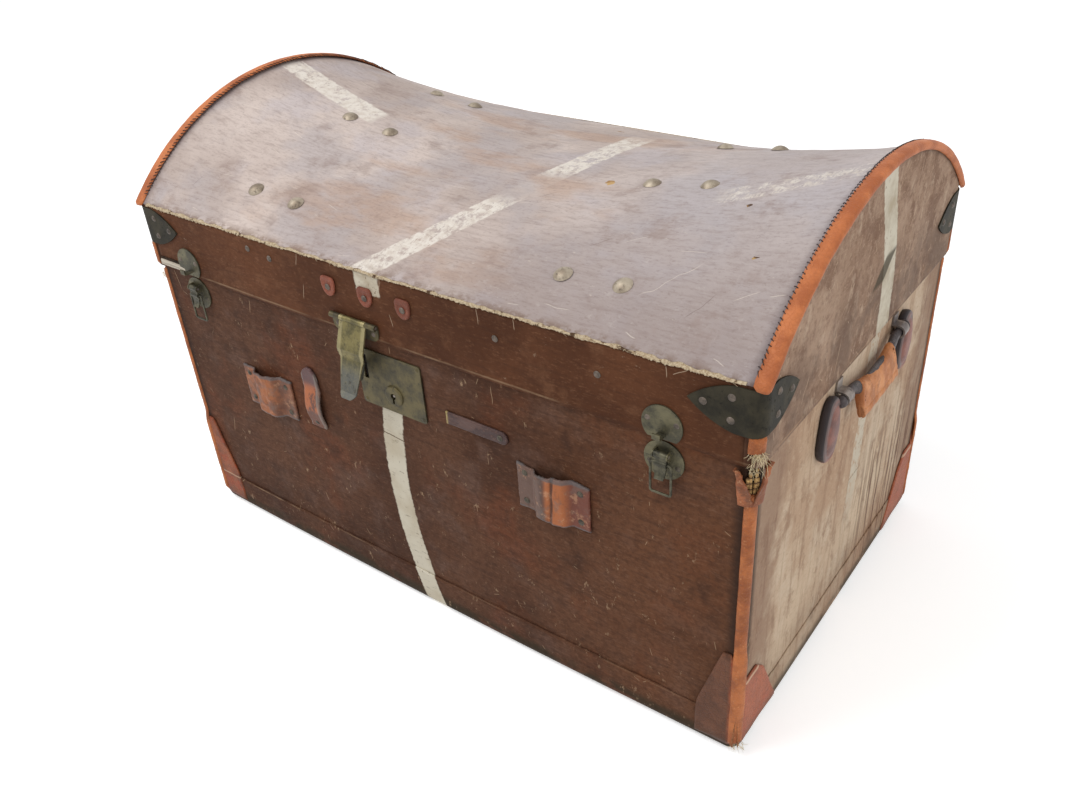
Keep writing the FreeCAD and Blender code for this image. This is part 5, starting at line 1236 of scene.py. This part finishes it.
# ------------------------------------------------------------------------------ leather on the walls
def on_base(points):
    """From across, out from the wall and height to the front of the base at that length."""
    x, out, z = points[..., 0], points[..., 1], points[..., 2]
    return np.stack((x, front_y(x, BASE_X, BASE_Y, 0.0) - out, z), -1)


def on_lid(points):
    """From across, out from the rim and height to the front of the lid at that length."""
    x, out, z = points[..., 0], points[..., 1], points[..., 2]
    return np.stack((x, front_y(x, LID_X, LID_Y, LID_MID) - out, z), -1)


def worn_edge(grid, back, share=0.3):
    """Thin the outside edge of a leather grid towards its back."""
    edge = np.zeros(grid.shape[:2])
    edge[[0, -1]] = share
    edge[:, [0, -1]] = share
    return grid + (back - grid) * edge[..., None]


def strap_leaf(middle, x, z, out, under, share=0.3):
    """Leather on the front wall, from x, z and out in mm round a middle: a face worn thin at its edge."""
    outer, inner = (np.stack(np.broadcast_arrays(middle[0] + x * MM, level * MM, middle[1] + z * MM), -1)
                    for level in (out, under))
    return shell(on_base(worn_edge(outer, inner, share)), on_base(inner))


def strap_keeper(name, middle, top, seed, crease):
    """Flat strip with a raised middle: feet 3 mm thick, ramps, a low arch with one upright crease."""
    x = np.linspace(-43, 43, 87)
    v = np.linspace(-1, 1, 45)[:, None]
    arch = smooth(np.abs(x), 24.5, 14) * np.ones_like(v)
    rise = 8.0 * arch + 1.6 * np.clip(1 - (x / 14) ** 2, 0, 1) * arch
    fold = crease * np.exp(-((x - 3 - 2.5 * v) / 2.2) ** 2) * arch
    slump = 0.9 * swell(np.stack((x + 0 * v, 27 * v + 0 * x), -1), 22, seed)
    upper = 27.5 + top * np.sin(x / 43 * np.pi * 1.1 + 0.4) + 1.1 * ragged(x, 30, seed + 1)
    lower = -27.5 + 0.7 * ragged(x, 30, seed + 2)
    z = (upper + lower) / 2 + (upper - lower) / 2 * v
    side = 1 + 0.012 * ragged(v[:, 0] * 27, 20, seed + 3)[:, None]
    out = rise - fold + slump * arch * 0.7
    leaf = strap_leaf(middle, x * side, z, 3.0 + out + 0.25 * slump, 0.12 + out * 0.985)
    return make(name, "base", "keeper_leather", [leaf], ["strap_" + name])


def torn_strap():
    """Stub of the left strap, bellied between its stitched root and its torn end."""
    v = np.linspace(0, 1, 61)[:, None]
    u = np.linspace(-1, 1, 21)[None, :]
    belly = 5.0 * np.sin(np.pi * np.clip(v * 1.5 - 0.1, 0, 1))
    width = 12.0 + 0.5 * ragged(v[:, 0], 0.3, 91)[:, None]
    end = 6.0 * (1 - u ** 2) ** 0.5 + 2.4 * ragged(u[0] * 12, 8, 92)[None, :] - 2.5
    z = -40 + (80 - 12 * (1 - np.sqrt(np.clip(1 - u ** 2, 0, 1)))) * v + 0 * end
    z = z + end * smooth(v, 0.75, 1.0) * 0.3
    x = width * u + 1.2 * np.sin(v * 3.0)
    curl = 1.0 * u ** 2 * smooth(v, 0.3, 0.9)
    leaf = strap_leaf(STUB, x, z, 3.9 + belly + curl, 0.5 + belly * 0.98 + curl, 0.25)
    return make("torn_strap", "base", "stub_leather", [leaf], ["broken_strap"])


def side_tab():
    """Short strap end held by one rivet: flat strip with one half-round end."""
    x = np.linspace(-40, 40, 81)
    past = np.clip((x - 32.5) / 7.5, 0, 1)
    half = 7.5 * np.sqrt(np.clip(1 - past ** 2 * 0.97, 0, 1))
    v = np.linspace(-1, 1, 13)[:, None]
    z = half * v + 0.25 * ragged(x, 24, 95)
    dents = swell(np.stack((x + 0 * v, 9 * v + 0 * x), -1), 14, 96)
    out = 2.9 + 0.5 * np.sin(x / 22) * smooth(x, 20, -10) + 0.25 * dents
    leaf = strap_leaf(TAB, x, z, out, 0.1)
    return make("side_tab", "base", "tab_leather", [leaf], ["front_tab"])


def rim_shields():
    """Shield-shaped leathers under three rim rivets, dished round the rivet."""
    shapes = []
    for k, middle in enumerate((-81, -28, 24)):
        outline = rounded([(-10, 11.5), (0, 11.8), (10, 11.5), (10, 0), (7, -7.5), (0, -11.5), (-7, -7.5),
                           (-10, 0)], 3)
        outline = outline * (1 + 0.03 * ragged(np.linspace(0, 1, len(outline)), 0.5, 100 + k))[:, None]

        def place(rows, middle=middle):
            """Leaf drawn flat in mm laid on the front of the lid, below the rim's top."""
            x, z, out = np.moveaxis(rows * MM, -1, 0)
            return on_lid(np.stack((middle * MM + x, 0.05 * MM + out, RIM_TOP - 29 * MM + z), -1))
        profile = ((1, 0), (1, 1.2), (0.97, 2.0), (0.9, 2.35), (0.72, 2.5), (0.58, 2.1), (0.45, 1.7),
                   (0.2, 1.6))
        shapes.append(crowned(outline, place, profile))
    return make("rim_shields", "lid", "shield_leather", shapes, ["leather_washers"])


# ---------------------------------------------------------------------------------------- handles
HANDLE_Y = 7 * MM                       # place of the handles' axis on the ends of the base
HANDLE_OUT = 8 * MM
HANDLE_Z = BASE_TOP - 24 * MM
DROOP = np.radians(76)                  # how far the straps hang down from level out at rest
GRIP_FAR = 39.0                         # mm from the axis to the grip's sewn edge
NECK_HALF = 88.5                        # half the length of a strap's neck, mm


def on_handle(points, side, hung=True):
    """From out, along and up at a handle's axis to its place on the end, turned down by its droop."""
    out, along, up = points[..., 0], points[..., 1], points[..., 2]
    if hung:
        out, up = out * np.cos(DROOP) + up * np.sin(DROOP), up * np.cos(DROOP) - out * np.sin(DROOP)
    return np.stack((side * (BASE_X + HANDLE_OUT + out), HANDLE_Y + along, HANDLE_Z + up), -1)


def handle_neck(side):
    """Strap neck: an oval carried along the bow between the loops, widest behind the grip."""
    along = np.linspace(-NECK_HALF, NECK_HALF, 110)
    bow = 10.5 * smooth(62 - np.abs(along), 0, 34)
    path = np.column_stack((bow, along, 0.3 * np.sin(along / 17))) * MM
    ends = NECK_HALF - np.abs(along)
    knob = 1 - smooth(ends, 5.0, 7.5)
    closing = 0.4 + 0.6 * np.sqrt(smooth(ends, 0, 2.5))
    thick = 4.1 + 2.4 * knob
    wide = 4.6 + 1.9 * knob + 1.9 * smooth(64 - np.abs(along), 0, 20)
    uneven = closing * (1 + 0.05 * ragged(along, 40, 110 + side))
    outline = circle(20)[None] * np.stack((thick * uneven, wide * uneven), -1)[:, None] * MM
    rows = carried(path, (0, 0, 1), outline)
    name = SIDE_NAME[side]
    return make("handle_neck_" + name, "handle_" + name, "neck_leather", [skin(on_handle(rows, side))],
                ["handle_strap_" + name])


GRIP_SHARE = np.concatenate((np.linspace(0, 0.12, 8), np.linspace(0.16, 0.70, 11),
                             (0.735, 0.76, 0.78, 0.80, 0.82, 0.85, 0.90, 0.95, 0.985, 1.0)))
GRIP_HALF = np.interp(GRIP_SHARE,
                      (0, 0.02, 0.06, 0.12, 0.22, 0.5, 0.7, 0.76, 0.785, 0.81, 0.9, 0.96, 0.99, 1.0),
                      (0.4, 2.6, 4.2, 5.0, 5.3, 4.8, 4.3, 4.1, 3.2, 4.1, 4.2, 4.0, 3.4, 2.6))


def handle_grip(side):
    """Leather folded over the neck and sewn near its lower edge: a plump section along the strap."""
    s = np.linspace(-1, 1, 97)[:, None]
    top = -1.0 + 7.0 * (1 - s ** 2) + 0.5 * ragged(s[:, 0] * 44, 30, 122 + side)[:, None]
    far = GRIP_FAR - 0.4 + 0.35 * ragged(s[:, 0] * 44, 20, 125 + side)[:, None]
    reach = top + (far - top) * GRIP_SHARE[None]
    half = np.broadcast_to(GRIP_HALF, reach.shape)
    width = 42.0 + 4.0 * smooth(reach, -2, 33)
    face = np.stack((s * width, reach), -1)
    puff = 0.45 * swell(face, 16, 127 + side) * smooth(half, 2, 4)
    y = s * width + 0.5 * s ** 15 * ragged(reach, 12, 128 + side)
    closing = 1 - 0.16 * smooth(np.abs(s), 0.975, 1.0)
    outside = np.stack((reach, y, (half + puff) * closing), -1)
    inside = np.stack((reach, y, (-half + puff * 0.3) * closing), -1)
    slit = np.stack((far * np.ones((1, 3)) + (0.0, -0.9, 0.0), np.repeat(y[:, -1:], 3, 1),
                     np.broadcast_to((0.55, 0.0, -0.55), (len(s), 3))), -1)
    grid = np.concatenate((outside, slit, inside[:, ::-1]), 1) * MM
    name = SIDE_NAME[side]
    obj = make("handle_grip_" + name, "handle_" + name, "grip_leather", [skin(on_handle(grid, side))],
               ["handle_pad_" + name])
    return obj


def grip_stitches(side):
    """Saddle stitches in the channel along the lower edge and down both cut ends, on each face."""
    lines = []
    for face in (1, -1):
        for y in np.arange(-39.5, 40, 3.9):
            line = np.array([(25.9, y - 1.4, face * 3), (25.7, y, face * 4), (25.9, y + 1.4, face * 3)])
            lines.append(line)
        for end in (-1, 1):
            for r in np.arange(5.5, 24, 3.9):
                y = end * (38.6 + 0.115 * r)
                depth = 5.2 - 0.045 * (r - 5)
                line = np.array([(r - 1.4, y, face * (depth - 0.7)), (r, y, face * (depth + 0.35)),
                                 (r + 1.4, y, face * (depth - 0.7))])
                lines.append(line)
    shapes = [thread(on_handle(line * MM, side), 0.45 * MM, 6, 5, 0.0) for line in lines]
    name = SIDE_NAME[side]
    return make("grip_stitches_" + name, "handle_" + name, "waxed_thread", shapes)


def handle_lobes(side):
    """Plump leather lobes over the ends of the neck, one below each loop, with a piped edge."""
    outline = rounded([(-8, 15.5), (0, 18), (8, 15.5), (12, 6), (15, -10), (16.3, -24), (15.3, -38),
                       (9, -49), (0, -51.5), (-9, -49), (-15.3, -38), (-16.3, -24), (-15, -10), (-12, 6)], 3)
    shapes = []
    for sign in (-1, 1):
        lean = np.radians(2) * sign
        root = sign * 98.0

        def place(rows, lean=lean, root=root):
            """Lobe drawn flat in mm, leaning a little, laid on the end below the loop."""
            y = rows[..., 0] * np.cos(lean) - rows[..., 1] * np.sin(lean)
            z = rows[..., 0] * np.sin(lean) + rows[..., 1] * np.cos(lean)
            lump = 0.35 * swell(rows, 18, 135 + side) * smooth(rows[..., 2], 2, 8)
            points = np.stack((rows[..., 2] + lump - 7.95, root + y, z - 8.0), -1) * MM
            return on_handle(points, side, False)
        profile = ((1, 0), (1.03, 2.5), (1.04, 5.0), (1.02, 7.6), (0.97, 9.2), (0.915, 9.6), (0.875, 9.0),
                   (0.83, 9.1), (0.72, 10.6), (0.5, 11.8), (0.25, 12.2))
        shapes.append(crowned(outline, place, profile))
    name = SIDE_NAME[side]
    obj = make("handle_lobes_" + name, "base", "lobe_leather", shapes,
               ["handle_chapes_" + name])
    return obj


# ---------------------------------------------------------------------------------- torn and frayed
SLANT = 0.707                           # share of a length at 45 degrees that lies along each side


def edge_fray():
    """Frayed edge of the dome canvas: a strip over the rim whose lower edge hangs by an uneven drop."""
    shapes = []
    for side, reach in ((1, 1.0), (-1, 0.6)):
        x = np.linspace(-0.3885, 0.3885, 700)
        torn = 0.55 + 0.75 * ragged(x, 0.10, 150 + side) + 0.35 * swell(x[:, None], 0.004, 152 + side)
        drop = np.clip(2.4 * torn, 0.4, 5.0) * reach
        lift = 0.5 + 0.35 * swell(x[:, None], 0.012, 154 + side)
        inward = 1.7 + 1.0 * swell(x[:, None], 0.02, 156 + side)
        y0 = front_y(x, LID_X, LID_Y, LID_MID)
        rows = []
        for share, rise in ((1.0, 0.12), (0.45, 0.55), (0.0, 0.75)):
            y = y0 + inward * share * MM
            rows.append(np.stack((x, y, dome_z(x, y) + rise * MM), -1))
        for share in (0.18, 0.5, 0.8, 1.0):
            out = (0.55 + lift * np.sin(share * 2.4)) * MM
            rows.append(np.stack((x, y0 - out, RIM_TOP + 0.2 * MM - drop * share * MM), -1))
        outer = np.stack(rows)
        inner = outer.copy()
        inner[:3, :, 2] -= 0.35 * MM
        inner[2:, :, 1] += 0.38 * MM
        if side < 0:
            outer[..., 1] = 2 * LID_MID - outer[..., 1]
            inner[..., 1] = 2 * LID_MID - inner[..., 1]
        shapes.append(shell(outer, inner))
    return make("edge_fray", "lid", "frayed_cotton", shapes)


def edge_threads():
    """Loose threads pulled from the dome's front and back edges, each a short bent curve."""
    draw = np.random.default_rng(160)
    shapes = []
    for side, count in ((1, 44), (-1, 24)):
        for x in draw.uniform(-0.385, 0.385, count):
            y = front_y(x, LID_X, LID_Y, LID_MID)
            fall = draw.uniform(0.9, 3.4) * MM
            lean = draw.normal(0, 3.5) * MM
            out = draw.uniform(0.6, 2.4) * MM
            start = np.array((x, y + 1.0 * MM, RIM_TOP + 0.9 * MM))
            line = np.array((start, (x + lean * 0.2, y - out * 1.1, RIM_TOP + 0.6 * MM),
                             (x + lean, y - out, RIM_TOP - fall * 0.5),
                             (x + lean * 1.3, y - 0.7 * MM - out * 0.3, RIM_TOP - fall)))
            if side < 0:
                line[:, 1] = 2 * LID_MID - line[:, 1]
            shapes.append(thread(line, draw.uniform(0.12, 0.22) * MM, 4, 7, 0.3))
    return make("edge_threads", "lid", "frayed_cotton", shapes)


def torn_flaps():
    """Two flaps of binding torn open at the corner, each a pointed leaf curling away from the wall."""
    shapes = []
    for side in (-1, 1):
        v = np.linspace(0, 1, 33)[:, None]
        u = np.linspace(0, 1, 15)[None, :]
        tip = (361 if side < 0 else 363.5) * MM
        z = TEAR_LOW - 8 * MM + (tip - TEAR_LOW + 8 * MM) * v + 0 * u
        width = 40 * (1 - v) ** 0.35 + 14
        root = 45 + side * (50 + 14 * v ** 1.3)
        turn = root - side * width * (1 - u) * (1 - 0.35 * v)
        curl = (0.8 + 5.0 * v ** 1.1) * (1 - u) ** 1.2 + 3.0 * v ** 1.2 * u + 1.5 * v * np.sin(u * 7 + 5 * v)
        curl = curl + 0.7 * swell(np.stack((turn * 0.2, z / MM), -1), 9, 170 + side) * (0.2 + v)
        torn = 0.9 * ragged(v[:, 0] * 40, 14, 172 + side)[:, None] * (1 - u)
        outer = np.stack((turn + 5 * torn, (3.0 + curl) * MM, z + 0.9 * MM * torn), -1)
        inner = np.stack((turn + 5 * torn, (0.7 + curl * 0.99) * MM, z + 0.9 * MM * torn), -1)
        shapes.append(shell(at_right_corner(outer), at_right_corner(inner)))
    return make("torn_flaps", "base", "torn_hide", shapes)


def corner_hollow_shade():
    """Dark sheet behind the tear, a little in from the canvas and ragged at its edge: painted shade inside
    the torn corner.
    """
    v = np.linspace(0, 1, 24)[:, None]
    u = np.linspace(-1, 1, 23)[None, :]
    z = TEAR_LOW - 3 * MM + (TEAR_HIGH - TEAR_LOW + 3 * MM) * v + 0 * u
    turn = 45 + u * (tear_half_angle(z) + 7)
    deep = -1.05 + 0.25 * swell(np.stack((turn * 0.3, z / MM), -1), 8, 176)
    outer = np.stack((turn, deep * MM, z), -1)
    inner = np.stack((turn, (deep - 0.5) * MM, z), -1)
    shapes = [shell(at_right_corner(outer), at_right_corner(inner))]
    return make("corner_hollow_shade", "base", "painted_hollow_shade", shapes)


def corner_canes():
    """Broken ends of the basket's corner stakes, showing where the corner is torn open."""
    shapes = []
    for k, (turn, low, high, lean) in enumerate(((20, 327, 352, 4), (36, 326, 359, -3), (54, 327, 361, 3),
                                                  (69, 328, 350, -4))):
        line = np.array([(turn, -0.0012, low * MM), (turn + lean * 0.3, 0.0004, (low + high) / 2 * MM),
                         (turn + lean, 0.0012 - 0.0008 * (k % 2), high * MM)])
        shapes.append(thread(at_right_corner(line), 1.7 * MM, 9, 9, 0.12))
    return make("corner_canes", "base", "woven_cane", shapes)


def tuft(middle, spread, count, length, seed, way=(0, 0, -1)):
    """Frayed threads from one spot: each starts within the spread and falls outwards along `way`."""
    draw = np.random.default_rng(seed)
    shapes = []
    for _ in range(count):
        start = np.array(middle) + draw.normal(0, 1, 3) * np.array(spread)
        fall = np.array(way, float) + draw.normal(0, 0.45, 3)
        size = draw.uniform(0.5, 1.0) * length
        bend = draw.normal(0, 0.25, 3) * size
        line = np.stack((start, start + fall * size * 0.4 + bend, start + fall * size))
        shapes.append(thread(line, draw.uniform(0.6, 1.1) * 0.22 * MM, 4, 6, 0.4))
    return shapes


def corner_frays():
    """Cotton frayed out of the torn corners: tufts over the right tear, at its foot and at the left."""
    right = corner_centre(*BASE)
    x = right[0] + (CORNER + 1.5 * MM) * SLANT
    y = right[1] - (CORNER + 1.5 * MM) * SLANT
    shapes = tuft((x, y, 362 * MM), (2.6 * MM, 2.6 * MM, 1.2 * MM), 30, 7 * MM, 180)
    shapes += tuft((x + 1.5 * MM, y - 1.5 * MM, 17 * MM), (3.2 * MM, 3.2 * MM, 1.2 * MM), 40, 8 * MM, 181,
                   way=(0.25, -0.25, -0.75))
    shapes += tuft((-x - 0.5 * MM, y - 0.5 * MM, 352 * MM), (1.6 * MM, 1.6 * MM, 3 * MM), 30, 8 * MM, 182,
                   way=(-0.2, -0.2, -0.8))
    return make("corner_frays", "base", "clean_fray", shapes)


def foot_split():
    """Split edge of the binding at the right foot: two thin lips standing either side of a dark slit."""
    shapes = []
    for side in (-1, 1):
        v = np.linspace(0, 1, 19)[:, None]
        u = np.linspace(0, 1, 7)[None, :]
        z = (14 + 40 * v) * MM + 0 * u
        gap = (6.5 * (1 - v) ** 0.7 + 0.8) * side
        turn = 40 + gap + side * 11 * u * (1 - 0.4 * v)
        uneven = 0.25 * ragged(v[:, 0] * 40, 12, 190 + side)[:, None]
        lift = 5.2 + (1 - u) * (1.9 * (1 - v) + 0.6) - 2.4 * u ** 2 + uneven
        outer = np.stack((turn + 0 * z, lift * MM, z), -1)
        inner = np.stack((turn + 0 * z, (lift - 1.2) * MM, z), -1)
        shapes.append(shell(at_right_corner(outer), at_right_corner(inner)))
    return make("foot_split", "base", "torn_edge", shapes)


def lid_corner_frays():
    """Cotton hanging from the torn lower end of the lid's front right binding."""
    cx, cy = corner_centre(*LID)
    reach = (CORNER + 1.0 * MM) * SLANT
    shapes = tuft((cx + reach, cy - reach, 381 * MM), (3.0 * MM, 3.0 * MM, 1.2 * MM), 70, 12 * MM, 183)
    return make("lid_corner_frays", "lid", "clean_fray", shapes)


def split_hoop():
    """Grey wood of the lid's hoop showing where the rim has lifted at the left, under a dark strip painted
    as the shadow in the gap.
    """
    def strip(name, finish, low, high, thick, seed):
        """A thin strip on the rim from the corner inwards, tapering at its inner end."""
        x = np.linspace(-0.3880, -0.3400, 70)
        t = (x - x[0]) / (x[-1] - x[0])
        taper = np.sqrt(np.clip(1 - t ** 5, 0, 1)) * 0.9 + 0.1
        v = np.linspace(0, 1, 9)[:, None]
        middle = (low + high) / 2 + 0.4 * ragged(t, 0.6, seed)
        z = middle + (high - low) / 2 * taper * (2 * v - 1)
        out = thick * np.sqrt(np.clip(1 - (2 * v - 1) ** 4, 0, 1)) + 0.2 + 0 * t
        outer = np.stack((x + 0 * v, out * MM, z * MM), -1)
        inner = np.stack((x + 0 * v, 0 * out - 0.1 * MM, z * MM), -1)
        return make(name, "lid", finish, [shell(on_lid(outer), on_lid(inner))])
    strip("split_hoop", "old_wood", 367.5, 376.0, 1.5, 200)
    # Dark strip above the split wood: painted shadow in the gap under the rim.
    strip("rim_gap_shadow", "painted_hollow_shade", 375.5, 379.5, 0.5, 202)


# ----------------------------------------------------------------------------------------- linings
LINED = 8.2 * MM                        # from the outside of the canvas in to the lining, and its thickness
CLOTH = 0.8 * MM


def base_lining_cloth():
    """Cotton pan inside the base: its walls hang in shallow wrinkles, and it is cut out round the lock."""
    fold_radius = 3 * MM
    levels = np.concatenate((np.linspace(24, 275, 12), np.linspace(285.6, 342.4, 10), (352, 364.9))) * MM

    def rows(offset, floor, wrinkled):
        """Rings from the middle of the floor out round the foot and up the walls."""
        turn = np.radians(np.linspace(90, 0, 7))
        bend = np.stack((offset - fold_radius + fold_radius * np.cos(turn),
                         floor + fold_radius - fold_radius * np.sin(turn)), -1)
        section = [(offset, floor, share) for share in (0.001, 0.25, 0.5, 0.75, 0.92)]
        section += [(*point, 1.0) for point in bend] + [(offset, z, 1.0) for z in levels]
        for out, z, share in section:
            flat = ring(*BASE, offset=out) * share
            points = np.column_stack((flat, np.full(len(flat), z)))
            if wrinkled:
                fold = 0.75 * MM * (1 + swell(points * (1, 1, 0.35), 0.035, 210))
                fold = fold * (1 - smooth(z, 0.315, 0.335))
                on_wall = smooth(z, 0.012, 0.05)
                points[:, :2] *= (1 - fold * on_wall / 0.30)[:, None]
                points[:, 2] += fold * (1 - on_wall)
            yield points
    outer = np.stack(list(rows(-LINED, 9.4 * MM, False)))
    inner = np.stack(list(rows(-LINED - CLOTH, 10.2 * MM, True)))
    middle = (outer[:-1] + outer[1:]) / 2
    middle = (middle + np.roll(middle, -1, axis=1)) / 2
    keep = ~is_lock_hole(middle, 43 * MM, 28.8 * MM)
    return make("base_lining_cloth", "base", "lining_cloth", [shell(outer, inner, True, keep)],
                ["base_lining"])


def lid_lining_cloth():
    """Cotton inside the lid: upright walls from the rim and a saddle carried under the dome."""
    edge = ring(*LID)
    centre = np.array((0, LID_MID))

    def roof(share, depth):
        """Ring of the dome's inside, a share of the way out from its middle and a depth under it."""
        flat = centre + (edge - centre) * share
        points = np.column_stack((flat, dome_z(flat[:, 0], flat[:, 1])))
        e = 1e-4
        sx = (dome_z(flat[:, 0] + e, flat[:, 1]) - dome_z(flat[:, 0] - e, flat[:, 1])) / (2 * e)
        sy = (dome_z(flat[:, 0], flat[:, 1] + e) - dome_z(flat[:, 0], flat[:, 1] - e)) / (2 * e)
        n = np.stack((-sx, -sy, np.ones(len(sx))), -1)
        n /= np.linalg.norm(n, axis=1, keepdims=True)
        return points - n * depth

    shares = (0.965, 0.93, 0.88, 0.8, 0.7, 0.58, 0.45, 0.3, 0.15)

    def side(depth, wrinkled):
        """Rings of one face of the cloth: up the walls, then in under the dome."""
        rows = []
        flat = ring(*LID, offset=-depth)
        top = roof(0.972, depth)[:, 2] - 3 * MM
        for level in np.linspace(0, 1, 14):
            points = np.column_stack((flat, LID_BOTTOM + (top - LID_BOTTOM) * level))
            if wrinkled:
                fold = 0.6 * (1 + swell(points * (1, 1, 0.4), 0.035, 220)) * MM * smooth(level, 0.3, 0.5)
                points[:, :2] = centre + (points[:, :2] - centre) * (1 - fold / 0.30)[:, None]
            rows.append(points)
        for share in shares:
            points = roof(share, depth)
            if wrinkled:
                points[:, 2] -= 0.7 * (1 + swell(points, 0.04, 221)) * MM
            rows.append(points)
        return rows
    outer = side(LINED, False)
    inner = side(LINED + CLOTH, True)
    rows = np.stack(outer[::-1] + inner)
    return make("lid_lining_cloth", "lid", "lining_cloth", [skin(rows)], ["lid_lining"])


base_canvas_piece = base_cover()
bottom_canvas_piece = bottom_cover()
rim_canvas_piece = rim_cover()
dome_canvas_piece = dome_cover()
end_canvas_pieces = [end_cover(side) for side in (-1, 1)]
for side in (-1, 1):
    arch_welt(side)
    welt_stitches(side)
    handle_neck(side)
    handle_grip(side)
    grip_stitches(side)
    handle_lobes(side)
corner_rolls()
lid_corner_rolls()
corner_hides()
strap_keeper("keeper_left", KEEPER_LEFT, 1.0, 130, 0.6)
strap_keeper("keeper_right", KEEPER_RIGHT, 2.6, 140, 1.8)
torn_strap()
side_tab()
rim_shields()
fray_pieces = [edge_fray(), edge_threads()]
torn_flaps()
corner_hollow_shade()
corner_canes()
corner_frays()
foot_split()
lid_corner_frays()
split_hoop()
base_lining_piece = base_lining_cloth()
lid_lining_piece = lid_lining_cloth()
dress(nodes["hasp"], "hasp_brass")
dress(nodes["base_rivets"], "dark_rivet")
dress(nodes["lid_rivets"], "iron_rivet")
dress(nodes["lock_pins"], "lock_brass")
for side in ("left", "right"):
    dress(nodes["handle_loops_" + side], "steel")
    dress(nodes["catch_lever_" + side], "catch_brass")
    dress(nodes["catch_loop_" + side], "catch_brass")


# --------------------------------------------------------------------------------- camera, light
def set_camera():
    """Seen from the front right and above, as by a hand-held camera 1.2 m from the trunk's middle."""
    right = (0.8056693, 0.5893051, -0.0601363)
    up = (-0.2848343, 0.4744108, 0.8329489)
    back = (0.5193904, -0.6539525, 0.5500726)
    turn = Matrix((right, up, back)).transposed().to_4x4()
    lens = bpy.data.cameras.new("camera")
    lens.lens = 33.136
    lens.sensor_width = 36
    lens.clip_end = 50
    camera = bpy.data.objects.new("camera", lens)
    camera.matrix_world = Matrix.Translation((0.664705, -0.850784, 0.864896)) @ turn
    bpy.context.collection.objects.link(camera)
    bpy.context.scene.camera = camera


def area_lamp(name, place, aim, size, power):
    """Round lamp at a place, turned so that its back axis points away from what it is aimed at."""
    lamp = bpy.data.lights.new(name, "AREA")
    lamp.shape = "DISK"
    lamp.size = size
    lamp.energy = power
    obj = bpy.data.objects.new(name, lamp)
    way = np.array(aim, float) - np.array(place, float)
    z = -way / np.linalg.norm(way)
    x = np.cross((0, 0, 1), z)
    x /= np.linalg.norm(x)
    turn = Matrix(np.column_stack((x, np.cross(z, x), z)).tolist()).to_4x4()
    obj.matrix_world = Matrix.Translation(place) @ turn
    bpy.context.collection.objects.link(obj)


def set_world(level):
    """Even grey light, seen as white by the camera and in reflections."""
    world = bpy.data.worlds.new("studio")
    bpy.context.scene.world = world
    world.use_nodes = True
    tree = Tree(world.node_tree)
    background = world.node_tree.nodes["Background"]
    strength = tree.node("ShaderNodeMapRange", inputs={"Value": tree.seen(), "To Min": level, "To Max": 1.0})
    tree.plug(background.inputs["Strength"], strength)
    tree.plug(background.inputs["Color"], (1, 1, 1, 1))


def set_floor():
    """Pale floor that keeps its shadow and is lifted to white for what the camera sees."""
    mesh = bpy.data.meshes.new("studio_floor")
    r = 12.0
    mesh.from_pydata([(-r, -r, 0), (r, -r, 0), (r, r, 0), (-r, r, 0)], [], [(0, 1, 2, 3)])
    floor = bpy.data.objects.new("studio_floor", mesh)
    bpy.context.collection.objects.link(floor)
    f = Finish("pale_floor", 0.9)
    f.done(f.mix(f.noise(1.5, 2.0, 0.5), (240, 240, 240), (246, 246, 246)))
    f.plug(f.shader.inputs["Emission Color"], f.mix(f.seen(), (0, 0, 0, 1), (0.42, 0.42, 0.42, 1)))
    f.shader.inputs["Emission Strength"].default_value = 1.0
    mesh.materials.append(f.material)


set_camera()
set_world(0.62)
area_lamp("key_light", (-1.1, -1.2, 2.6), (0, 0, 0.3), 1.8, 38)
area_lamp("fill_light", (2.4, -0.6, 1.6), (0.2, 0, 0.3), 1.6, 14)
set_floor()
bpy.context.scene.view_settings.view_transform = "Standard"
